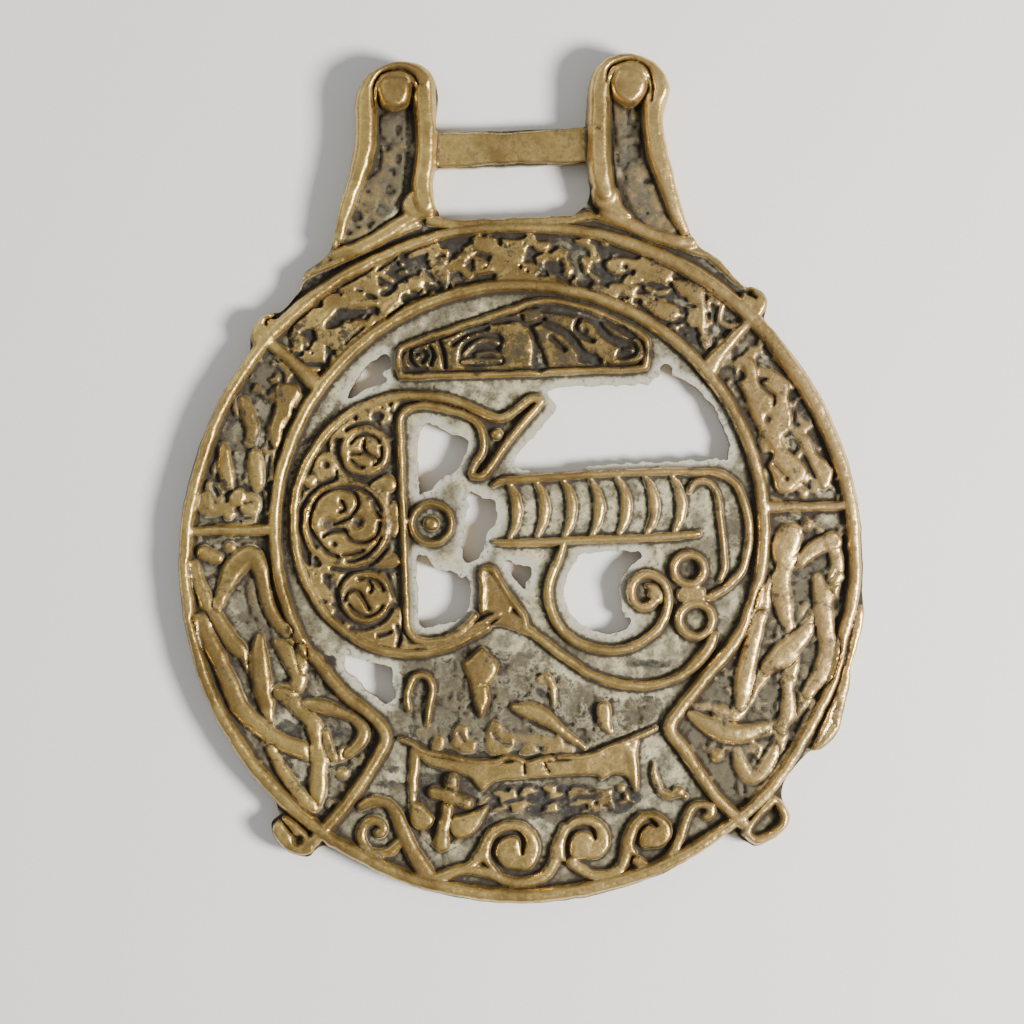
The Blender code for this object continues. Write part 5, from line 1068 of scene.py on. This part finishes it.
def front_sheet(relief, metal, pitch):
    """Triangles over the metal, with the nodes nearest the edge moved onto it."""
    xs = np.arange(SHEET_LEFT, SHEET_RIGHT, pitch)
    ys = np.arange(SHEET_LOW, SHEET_HIGH, pitch)
    gx, gy = np.meshgrid(xs, ys)
    x, y = gx.ravel(), gy.ravel()
    value = relief.sample(metal, x, y)
    slope_x, slope_y = relief.slope(metal, x, y, EDGE_GAP)
    steep = np.maximum(slope_x ** 2 + slope_y ** 2, LEAST_STEEP)
    near = np.abs(value) < SNAP * pitch
    x = np.where(near, x - value * slope_x / steep, x)
    y = np.where(near, y - value * slope_y / steep, y)
    value = np.where(near, 0.0, value)
    count = len(xs)
    corner = (np.arange(len(ys) - 1)[:, None] * count + np.arange(count - 1)[None, :]).ravel()
    checker = np.add.outer(np.arange(len(ys) - 1), np.arange(count - 1)).ravel() % 2
    flip = checker.astype(bool)
    a, b, c, d = corner, corner + 1, corner + count + 1, corner + count
    first = np.where(flip[:, None], np.stack([a, b, d], 1), np.stack([a, b, c], 1))
    second = np.where(flip[:, None], np.stack([b, c, d], 1), np.stack([a, c, d], 1))
    tris = np.vstack([first, second])
    inner = value[tris] >= 0
    tris, inner = tris[inner.any(1)], inner[inner.any(1)]
    whole = tris[inner.all(1)]
    partial, flags = tris[~inner.all(1)], inner[~inner.all(1)]
    pairs, faces = {}, []
    total = len(x)
    extra_x, extra_y = [], []

    def crossing(p, q):
        """The node where the edge between a metal node and an outer one meets the outline."""
        if value[p] == 0:
            return p
        key = (p, q)
        if key not in pairs:
            t = value[p] / (value[p] - value[q])
            extra_x.append(x[p] + (x[q] - x[p]) * t)
            extra_y.append(y[p] + (y[q] - y[p]) * t)
            pairs[key] = total + len(extra_x) - 1
        return pairs[key]

    for tri, flag in zip(partial.tolist(), flags.tolist()):
        ringed = []
        for k in range(3):
            p, q = tri[k], tri[(k + 1) % 3]
            if flag[k]:
                ringed.append(p)
            if flag[k] != flag[(k + 1) % 3]:
                ringed.append(crossing(p, q) if flag[k] else crossing(q, p))
        ringed = [p for k, p in enumerate(ringed) if p != ringed[k - 1]]
        for k in range(1, len(ringed) - 1):
            faces.append((ringed[0], ringed[k], ringed[k + 1]))
    x, y = np.append(x, extra_x), np.append(y, extra_y)
    tris = np.vstack([whole, np.array(faces, int).reshape(-1, 3)])
    tris = tris[(tris[:, 0] != tris[:, 1]) & (tris[:, 1] != tris[:, 2]) & (tris[:, 0] != tris[:, 2])]
    used, packed = np.unique(tris, return_inverse=True)
    return x[used], y[used], packed.reshape(-1, 3)


def mesh_from(name, points, tris):
    """A mesh from arrays of points and triangles."""
    mesh = bpy.data.meshes.new(name)
    mesh.vertices.add(len(points))
    mesh.vertices.foreach_set("co", np.asarray(points, np.float32).ravel())
    mesh.loops.add(len(tris) * 3)
    mesh.loops.foreach_set("vertex_index", np.asarray(tris, np.int32).ravel())
    mesh.polygons.add(len(tris))
    mesh.polygons.foreach_set("loop_start", np.arange(0, len(tris) * 3, 3, dtype=np.int32))
    mesh.polygons.foreach_set("loop_total", np.full(len(tris), 3, np.int32))
    mesh.update(calc_edges=True)
    return mesh


def mesh_arrays(mesh):
    """A triangle mesh's points and triangles, as arrays."""
    points = np.empty(len(mesh.vertices) * 3, np.float32)
    mesh.vertices.foreach_get("co", points)
    tris = np.empty(len(mesh.loops), np.int32)
    mesh.loops.foreach_get("vertex_index", tris)
    return points.reshape(-1, 3).astype(float), tris.reshape(-1, 3)


def thinned(points, tris, limit):
    """The sheet with fewer triangles where it is flat."""
    if len(tris) <= limit:
        return points, tris
    item = bpy.data.objects.new("sheet", mesh_from("sheet", points, tris))
    bpy.context.scene.collection.objects.link(item)
    step = item.modifiers.new("thin", "DECIMATE")
    step.ratio = limit / len(tris)
    step.use_collapse_triangulate = True
    shaped = item.evaluated_get(bpy.context.evaluated_depsgraph_get()).to_mesh()
    result = mesh_arrays(shaped)
    item.to_mesh_clear()
    mesh = item.data
    bpy.data.objects.remove(item)
    bpy.data.meshes.remove(mesh)
    return result


def boundary_edges(tris):
    """Directed edges with the metal on their left, in the order that they follow each other."""
    edges = np.vstack([tris[:, [0, 1]], tris[:, [1, 2]], tris[:, [2, 0]]])
    forward = edges[:, 0].astype(np.int64) * (edges.max() + 1) + edges[:, 1]
    backward = edges[:, 1].astype(np.int64) * (edges.max() + 1) + edges[:, 0]
    border = edges[~np.isin(forward, backward)].tolist()
    after = {}
    for a, b in border:
        after.setdefault(a, []).append(b)
    order = []
    while after:
        here = next(iter(after))
        while here in after:
            there = after[here].pop()
            if not after[here]:
                del after[here]
            order.append((here, there))
            here = there
    return np.array(order)


def back_fill(outline_points, edges):
    """Triangles between the back's boundary edges, facing down."""
    bm = bmesh.new()
    verts = [bm.verts.new((x, y, 0.0)) for x, y in outline_points]
    rim = [bm.edges.new((verts[a], verts[b])) for a, b in edges]
    bmesh.ops.triangle_fill(bm, edges=rim, use_beauty=True, use_dissolve=False, normal=(0, 0, -1))
    bm.verts.index_update()
    if not bm.faces:
        raise RuntimeError("the back of the casting couldn't be filled")
    tris = []
    for face in bm.faces:
        a, b, c = (v.index for v in face.verts)
        (ax, ay), (bx, by), (cx, cy) = (outline_points[k] for k in (a, b, c))
        turned = (bx - ax) * (cy - ay) - (by - ay) * (cx - ax)
        tris.append((a, b, c) if turned < 0 else (a, c, b))
    bm.free()
    return np.array(tris)


def closed_casting(relief, metal, x, y, z, tris, casting):
    """Add walls and a back to the front sheet; returns points, triangles, wall shares and UVs."""
    order = boundary_edges(tris)
    rim, packed = np.unique(order, return_inverse=True)
    edges = packed.reshape(-1, 2)
    slope = np.stack(relief.slope(metal, x[rim], y[rim], WALL_GAP), 1)
    inward = slope / np.maximum(np.hypot(slope[:, 0], slope[:, 1]), TINY)[:, None]
    rows = [np.stack([x[rim], y[rim], z[rim]], 1)]
    for share in WALL_SHARES:
        level = casting.lip + (z[rim] - casting.lip) * share
        rows.append(np.stack([x[rim], y[rim], level], 1))
    foot = rows[-1].copy()
    foot[:, :2] += inward * casting.lip * FOOT_INSET
    foot[:, 2] = 0.0
    rows.append(foot)
    front, size = len(x), len(rim)
    points = np.vstack([np.stack([x, y, z], 1)] + rows[1:])
    index = [rim] + [front + size * k + np.arange(size) for k in range(len(rows) - 1)]
    faces, uv = [tris], [front_uv(x, y)[tris.ravel()]]
    lengths = np.hypot(*(points[order[:, 1], :2] - points[order[:, 0], :2]).T)
    start = np.concatenate([[0.0], np.cumsum(lengths)[:-1]])
    for k in range(len(rows) - 1):
        a, b = index[k][edges[:, 0]], index[k][edges[:, 1]]
        c, d = index[k + 1][edges[:, 0]], index[k + 1][edges[:, 1]]
        faces += [np.stack([a, c, d], 1), np.stack([a, d, b], 1)]
        low_c, low_d = points[c, 2], points[d, 2]
        if k == len(rows) - 2:
            low_c = low_d = low_c - WALL_SPREAD
        high_left, high_right = wall_uv(start, 0.0, points[a, 2]), wall_uv(start, lengths, points[b, 2])
        low_left, low_right = wall_uv(start, 0.0, low_c), wall_uv(start, lengths, low_d)
        uv.append(np.stack([high_left, low_left, low_right], 1).reshape(-1, 2))
        uv.append(np.stack([high_left, low_right, high_right], 1).reshape(-1, 2))
    back = back_fill([tuple(p) for p in rows[0][:, :2]], edges.tolist())
    faces.append(index[-1][back])
    uv.append(back_uv(x[rim], y[rim])[back.ravel()])
    wall = np.concatenate([np.zeros(front), np.ones(len(points) - front)])
    return points, np.vstack(faces), wall, np.vstack(uv)


# The casting's own UV map: the face fills the left, the walls and the back share the right
FACE_SCALE = 0.0092
UV_MARGIN = 0.01
SIDE_LEFT = 0.79
BACK_SCALE = 0.0024
WALL_SCALE = 0.0058
WALL_ROW = 33.0
WALL_STEP = 0.036
WALL_BASE = 0.30
WALL_SPREAD = 0.25


def front_uv(x, y):
    """The face, seen straight on."""
    return np.stack([UV_MARGIN + (x - SHEET_LEFT) * FACE_SCALE,
                     UV_MARGIN + (y - SHEET_LOW) * FACE_SCALE], 1)


def back_uv(x, y):
    """The back, smaller and low on the right."""
    return np.stack([SIDE_LEFT + (x - SHEET_LEFT) * BACK_SCALE,
                     UV_MARGIN + (y - SHEET_LOW) * BACK_SCALE], 1)


def wall_uv(start, along, z):
    """The walls in rows, each as long as WALL_ROW, one above the other."""
    row = np.floor(start / WALL_ROW)
    return np.stack([SIDE_LEFT + (start - row * WALL_ROW + along) * WALL_SCALE,
                     WALL_BASE + row * WALL_STEP + (z + WALL_SPREAD) * WALL_SCALE], 1)


class Wire:
    """A shader socket that can be used in sums: each operator adds a Math node."""

    def __init__(self, tree, socket=None):
        self.tree = tree
        self.socket = socket

    def node(self, kind, settings=None, values=None, output=0):
        """Add a node: its settings first, then the values or links of its sockets."""
        made = self.tree.nodes.new(kind)
        for name, value in (settings or {}).items():
            setattr(made, name, value)
        for key, value in (values or {}).items():
            if isinstance(value, Wire):
                self.tree.links.new(value.socket, made.inputs[key])
            else:
                made.inputs[key].default_value = value
        return Wire(self.tree, made.outputs[output])

    def maths(self, operation, first, second):
        """One Math node on two numbers or wires."""
        return self.node("ShaderNodeMath", {"operation": operation}, {0: first, 1: second})

    def __add__(self, other):
        return self.maths("ADD", self, other)

    def __sub__(self, other):
        return self.maths("SUBTRACT", self, other)

    def __rsub__(self, other):
        return self.maths("SUBTRACT", other, self)

    def __mul__(self, other):
        return self.maths("MULTIPLY", self, other)

    __radd__ = __add__
    __rmul__ = __mul__

    def largest(self, other):
        """The larger of this and the other."""
        return self.maths("MAXIMUM", self, other)

    def rise(self, low, high):
        """0 below low, 1 above high, and smooth between them."""
        return self.node("ShaderNodeMapRange", {"interpolation_type": "SMOOTHSTEP"},
                         {"Value": self, "From Min": low, "From Max": high})

    def mix(self, low, high):
        """The colour low where this is 0 and high where it is 1."""
        return self.node("ShaderNodeMix", {"data_type": "RGBA"}, {0: self, 6: low, 7: high}, output=2)

    def grain(self, place, scale, detail=2.0, roughness=0.5):
        """Noise between about 0.2 and 0.8, its scale in lumps per metre."""
        return self.node("ShaderNodeTexNoise", {}, {"Vector": place, "Scale": scale, "Detail": detail,
                                                    "Roughness": roughness})


def colour_property(name, description, value):
    """A colour with its alpha."""
    return bpy.props.FloatVectorProperty(name=name, description=description, default=value, size=4,
                                         min=0.0, max=1.0, subtype="COLOR")


class CastingSettings(bpy.types.PropertyGroup):
    """Sizes of the casting, in millimetres."""

    web: bpy.props.FloatProperty(
        name="Web", description="Height of the ground over the flat back, mm",
        default=2.2, min=1.0, max=4.0)
    lip: bpy.props.FloatProperty(
        name="Back lip", description="Height of the bevel round the back, mm",
        default=0.4, min=0.1, max=1.0)
    raster: bpy.props.FloatProperty(
        name="Raster", description="Cell of the raster that the relief is laid on, mm",
        default=0.08, min=0.05, max=0.3)
    pitch: bpy.props.FloatProperty(
        name="Mesh pitch", description="Spacing of the mesh before it is thinned, mm",
        default=0.17, min=0.1, max=0.5)
    triangles: bpy.props.IntProperty(
        name="Triangles", description="Most triangles on the face",
        default=165000, min=20000, max=180000)
    softness: bpy.props.FloatProperty(
        name="Softness", description="Blur that rounds the relief, mm",
        default=0.07, min=0.02, max=0.5)
    roughness_depth: bpy.props.FloatProperty(
        name="Sand texture", description="Depth of the cast skin in hollows, mm",
        default=0.11, min=0.0, max=0.3)
    wobble: bpy.props.FloatProperty(
        name="Wobble", description="How far the hand-cut lines stray, mm",
        default=0.07, min=0.0, max=0.4)
    seed: bpy.props.IntProperty(
        name="Seed", description="Seed of the casting's unevenness", default=7, min=0)


class BrassSettings(bpy.types.PropertyGroup):
    """Colours and gloss of the old brass."""

    gold: colour_property("Worn brass", "Rubbed high places", (0.64, 0.455, 0.155, 1.0))
    honey: colour_property("Deep brass", "Darker tone of the rubbed places", (0.36, 0.24, 0.082, 1.0))
    # Dark brown for stains, pits and dirt, and also for the painted shade on flanks, in creases and beside
    # ridges
    umber_dirt_and_shade: colour_property("Foot lines", "Brown dirt at the foot of each ridge", (0.022, 0.014, 0.006, 1.0))
    slate: colour_property("Tarnish", "Dark grey tarnish in the hollows", (0.022, 0.022, 0.021, 1.0))
    chalk: colour_property("Residue", "Pale residue of old polish", (0.49, 0.445, 0.28, 1.0))
    moss: colour_property("Old residue", "Darker, olive-grey residue", (0.16, 0.145, 0.088, 1.0))
    bone: colour_property("Bare edges", "Whitish bevels round the piercings", (0.44, 0.42, 0.33, 1.0))
    clay: colour_property("Dull brass", "Ground between residue and tarnish", (0.088, 0.074, 0.043, 1.0))
    # Paler brass towards the right: painted light on the side that the key lamp lights
    right_lit_brass: colour_property("Pale brass", "Paler, pinkish brass on the right", (0.66, 0.46, 0.20, 1.0))
    gloss: bpy.props.FloatProperty(
        name="Worn roughness", description="Roughness of the rubbed places",
        default=0.33, min=0.05, max=1.0, subtype="FACTOR")


class StageSettings(bpy.types.PropertyGroup):
    """The floor, the lights and the camera."""

    floor: colour_property("Floor", "Colour of the pale floor", (0.88, 0.88, 0.86, 1.0))
    distance: bpy.props.FloatProperty(
        name="Camera height", description="Height of the camera over the plane that it frames",
        default=0.30, min=0.1, unit="LENGTH")
    field: bpy.props.FloatProperty(
        name="Field", description="Width of the view at the casting",
        default=0.1193, min=0.05, unit="LENGTH")
    turn: bpy.props.FloatProperty(
        name="Turn", description="How far the casting looks turned",
        default=math.radians(2.0), subtype="ANGLE")
    key: bpy.props.FloatProperty(
        name="Key light", description="Power of the key light",
        default=6.0, min=0.0, unit="POWER")
    fill: bpy.props.FloatProperty(
        name="Fill light", description="Power of the fill light",
        default=0.7, min=0.0, unit="POWER")
    sky: bpy.props.FloatProperty(
        name="Sky", description="Strength of the even light all round", default=0.36, min=0.0)


def aged_brass(tones):
    """Old cast brass: rubbed ridges, brown foot lines of dirt and painted shade, pale residue and dark
    tarnish, with painted light towards the right.
    """
    material = bpy.data.materials.new("aged_brass")
    material.use_nodes = True
    tree = material.node_tree
    shader = tree.nodes["Principled BSDF"]
    start = Wire(tree)

    def reading(name):
        """A number stored on the mesh."""
        return start.node("ShaderNodeAttribute", {"attribute_name": name}, output=2)

    place = start.node("ShaderNodeTexCoord", output=3)
    lift, hollow, soot = reading("lift"), reading("hollow"), reading("soot")
    chalk, border, wall, shade = reading("chalk"), reading("border"), reading("wall"), reading("shade")
    coarse = start.grain(place, COARSE_GRAIN, 3.0, 0.6)
    fine = start.grain(place, FINE_GRAIN, 3.0, 0.65)
    speck = start.grain(place, SPECK_GRAIN, 2.0, 0.6)
    broad = start.grain(place, BROAD_GRAIN, 2.0, 0.5)
    across = start.node("ShaderNodeSeparateXYZ", {}, {0: place})

    # Where each layer shows
    worn = (lift + (coarse - 0.5) * 0.3 + (fine - 0.5) * 0.3).rise(0.26, 0.5).largest(wall)
    # Crease mask at the feet of ridges, from the narrow hollow field: dirt and painted shade
    line = (hollow + (fine - 0.5) * 0.1).rise(0.03, 0.14)
    sooty = (soot + (coarse - 0.5) * 1.3 + (fine - 0.5) * 0.9).rise(0.42, 0.66)
    chalky = (chalk + (coarse - 0.5) * 1.1 + (fine - 0.5) * 1.3).rise(0.28, 0.62)
    pitted = speck.rise(0.60, 0.72)

    # Rubbed ridges, with painted light towards the right and painted shade on their flanks and feet
    brass = (broad + (coarse - 0.5) * 0.6).rise(0.35, 0.65).mix(tones.honey, tones.gold)
    # Brass turns paler and pinker towards the right with the x coordinate: painted light from the key
    # lamp's side
    brass = (across * 12 + (broad - 0.5) * 1.2).rise(-0.1, 0.7).mix(brass, tones.right_lit_brass)
    stain = (coarse * 0.6 + fine * 0.4).rise(0.47, 0.62) * (1.25 - lift * 0.5).rise(0.2, 1.0)
    brass = (stain * 0.78).mix(brass, tones.umber_dirt_and_shade)
    # Low flanks of the ridges turn brown below the rubbed crests: partly wear, partly painted shade
    flank_wear_and_shade = 1 - (lift + (fine - 0.5) * 0.3).rise(0.18, 0.62)
    brass = (flank_wear_and_shade * (1 - wall) * 0.75).mix(brass, tones.umber_dirt_and_shade)
    brass = (pitted * 0.45).mix(brass, tones.umber_dirt_and_shade)
    film = (soot + (coarse - 0.5) * 1.5 + (fine - 0.5) * 1.3).rise(0.62, 0.98) * (1 - wall)
    brass = (film * 0.72).mix(brass, tones.slate)
    # Brown where each ridge meets the ground: dirt and painted shade in the crease
    brass = (hollow.rise(0.04, 0.16) * (1 - wall) * 0.85).mix(brass, tones.umber_dirt_and_shade)
    brass = (wall * 0.55).mix(brass, tones.honey)

    # Ground between the ridges
    residue = (coarse * 0.7 + broad * 0.3).rise(0.44, 0.63).mix(tones.moss, tones.chalk)
    ground = chalky.mix(tones.clay, residue)
    ground = (border * fine.rise(0.3, 0.5)).mix(ground, tones.bone)
    ground = (sooty * 0.9).mix(ground, tones.slate)
    ground = (pitted * (1 - border) * 0.7).mix(ground, tones.umber_dirt_and_shade)
    # Ground darkened in the broad hollows beside ridges: painted shade, with dirt
    hollow_dirt_and_shade = (shade + (coarse - 0.5) * 0.5 + (fine - 0.5) * 0.4).rise(0.16, 0.5) * (1 - border)
    ground = (hollow_dirt_and_shade * 0.75).mix(ground, tones.umber_dirt_and_shade)
    # Brown crease lines on the ground at the feet of ridges: dirt and painted shade
    ground = (line * (1 - border * 0.5) * 0.9).mix(ground, tones.umber_dirt_and_shade)

    colour = worn.mix(ground, brass)
    tree.links.new(colour.socket, shader.inputs["Base Color"])
    tree.links.new((worn * (1 - line * 0.6) * (1 - stain * 0.5) * 0.9).socket, shader.inputs["Metallic"])
    tree.links.new((0.85 - worn * (0.85 - tones.gloss) + (fine - 0.5) * 0.3 + stain * 0.15).socket,
                   shader.inputs["Roughness"])
    height = coarse * 0.4 + fine * 0.6 + speck * 0.35 * (1.3 - worn)
    bump = start.node("ShaderNodeBump", {}, {"Strength": BUMP_STRENGTH, "Distance": BUMP_DISTANCE,
                                             "Height": height})
    tree.links.new(bump.socket, shader.inputs["Normal"])
    return material


def pale_floor(colour):
    """A smooth, plain studio floor."""
    material = bpy.data.materials.new("pale_floor")
    material.use_nodes = True
    shader = material.node_tree.nodes["Principled BSDF"]
    start = Wire(material.node_tree)
    place = start.node("ShaderNodeTexCoord", output=3)
    cloud = start.grain(place, FLOOR_GRAIN, 3.0)
    darker = tuple(c * FLOOR_SHADE for c in colour[:3]) + (1.0,)
    material.node_tree.links.new(cloud.mix(darker, tuple(colour)).socket, shader.inputs["Base Color"])
    shader.inputs["Roughness"].default_value = FLOOR_ROUGHNESS
    return material


class HORSEBRASS_OT_casting(bpy.types.Operator):
    """Build the horse brass as one casting"""

    bl_idname = "horse_brass.casting"
    bl_label = "Casting"

    def execute(self, context):
        casting = context.scene.horse_brass_casting
        coarser = 1
        relief = Relief(casting.raster * coarser, casting.wobble, casting.seed)
        metal, near = carve(relief, casting)
        fields = tone_fields(relief, near)
        fields["lift"] = relief.height - relief.base
        fields["hollow"] = relief.blurred(relief.height, HOLLOW_BLUR) - relief.height
        # Broad hollows beside the ridges, which the shader darkens as painted shade with dirt
        fields["shade"] = relief.blurred(relief.height, SHADE_BLUR) - relief.height
        x, y, tris = front_sheet(relief, metal, casting.pitch * coarser)
        z = relief.sample(relief.height, x, y)
        points, tris = thinned(np.stack([x, y, z], 1), tris, casting.triangles)
        x = np.clip(points[:, 0], -DISC_RADIUS, DISC_RADIUS)
        y = np.minimum(points[:, 1], HORN_LIMIT)
        z = np.clip(casting.web + relief.sample(relief.height, x, y), THINNEST_WEB, TOP_LIMIT)
        points, tris, wall, uv = closed_casting(relief, metal, x, y, z, tris, casting)
        if len(tris) >= TRIANGLE_LIMIT:
            raise RuntimeError("the casting has %d triangles, too many for one piece" % len(tris))
        world = points * MM
        world[:, 1] += DISC_Y * MM
        mesh = mesh_from(PIECE, world, tris)
        mesh.validate()
        mesh.shade_smooth()
        mesh.set_sharp_from_angle(angle=math.radians(SHARP_ANGLE))
        layer = mesh.uv_layers.new(name="OFBake")
        layer.uv.foreach_set("vector", uv.astype(np.float32).ravel())
        front = len(x)
        for name, field in fields.items():
            values = np.zeros(len(points))
            values[:front] = relief.sample(field, x, y)
            store(mesh, name, values)
        store(mesh, "wall", wall)
        piece = bpy.data.objects.new(PIECE, mesh)
        context.scene.collection.objects.link(piece)
        mesh.materials.append(aged_brass(context.scene.horse_brass_finish))
        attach(piece, BODY)
        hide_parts(NODE)
        print("casting:", len(tris), "triangles")
        return {"FINISHED"}


def store(mesh, name, values):
    """Keep one number per vertex for the shader."""
    layer = mesh.attributes.new(name, "FLOAT", "POINT")
    layer.data.foreach_set("value", np.asarray(values, np.float32))


class HORSEBRASS_OT_stage(bpy.types.Operator):
    """Set the pale floor, the soft lights and the camera"""

    bl_idname = "horse_brass.stage"
    bl_label = "Stage"

    def execute(self, context):
        stage = context.scene.horse_brass_stage
        bm = bmesh.new()
        bmesh.ops.create_grid(bm, x_segments=FLOOR_CELLS, y_segments=FLOOR_CELLS, size=FLOOR_HALF)
        mesh = bpy.data.meshes.new("studio_floor")
        bm.to_mesh(mesh)
        bm.free()
        floor = bpy.data.objects.new("studio_floor", mesh)
        floor.location.z = -FLOOR_DROP
        context.scene.collection.objects.link(floor)
        mesh.materials.append(pale_floor(stage.floor))
        self.light(context, "key", stage.key, *KEY_LAMP)
        self.light(context, "fill", stage.fill, *FILL_LAMP)
        world = context.scene.world or bpy.data.worlds.new("studio")
        context.scene.world = world
        world.use_nodes = True
        background = world.node_tree.nodes["Background"]
        background.inputs["Color"].default_value = (1.0, 1.0, 1.0, 1.0)
        background.inputs["Strength"].default_value = stage.sky
        self.camera(context, stage)
        return {"FINISHED"}

    @staticmethod
    def light(context, name, power, place, width, colour):
        """A round soft lamp that faces the middle of the stage."""
        lamp = bpy.data.lights.new(name, "AREA")
        lamp.shape = "DISK"
        lamp.size = width
        lamp.energy = power
        lamp.color = colour
        item = bpy.data.objects.new(name, lamp)
        item.location = place
        to_middle = -item.location
        item.rotation_euler = to_middle.to_track_quat("-Z", "Y").to_euler()
        context.scene.collection.objects.link(item)

    @staticmethod
    def camera(context, stage):
        """Look straight down, the disc's centre a little right of and below the picture's middle."""
        data = bpy.data.cameras.new("camera")
        data.sensor_width = SENSOR_WIDTH
        data.lens = data.sensor_width * stage.distance / stage.field
        data.clip_start = NEAREST_SEEN
        data.dof.use_dof = False
        pixel = stage.field / IMAGE_WIDTH
        right = (IMAGE_WIDTH / 2 - DISC_PIXEL[0]) * pixel
        up = (DISC_PIXEL[1] - IMAGE_WIDTH / 2) * pixel
        c, s = math.cos(stage.turn), math.sin(stage.turn)
        item = bpy.data.objects.new("camera", data)
        item.location = (right * c + up * s, -right * s + up * c + DISC_Y * MM, stage.distance + VIEW_PLANE)
        item.rotation_euler = (0.0, 0.0, -stage.turn)
        context.scene.collection.objects.link(item)
        context.scene.camera = item


class HORSEBRASS_PT_panel(bpy.types.Panel):
    """The builders, in the sidebar of the 3D view"""

    bl_label = "Horse Brass"
    bl_space_type = "VIEW_3D"
    bl_region_type = "UI"
    bl_category = "Horse Brass"

    def draw(self, context):
        for operator in OPERATORS:
            self.layout.operator(operator.bl_idname)


GROUPS = {"horse_brass_casting": CastingSettings, "horse_brass_finish": BrassSettings,
          "horse_brass_stage": StageSettings}
OPERATORS = (HORSEBRASS_OT_casting, HORSEBRASS_OT_stage)
CLASSES = (*GROUPS.values(), *OPERATORS, HORSEBRASS_PT_panel)


def register():
    """Add the add-on's classes and its settings to Blender."""
    for item in CLASSES:
        bpy.utils.register_class(item)
    for name, group in GROUPS.items():
        setattr(bpy.types.Scene, name, bpy.props.PointerProperty(type=group))


def unregister():
    """Take them out again."""
    for name in GROUPS:
        delattr(bpy.types.Scene, name)
    for item in reversed(CLASSES):
        bpy.utils.unregister_class(item)


def main():
    """Build the casting, which prints its triangle count, and the stage."""
    register()
    bpy.ops.horse_brass.casting()
    bpy.ops.horse_brass.stage()


if __name__ == "__main__":
    main()
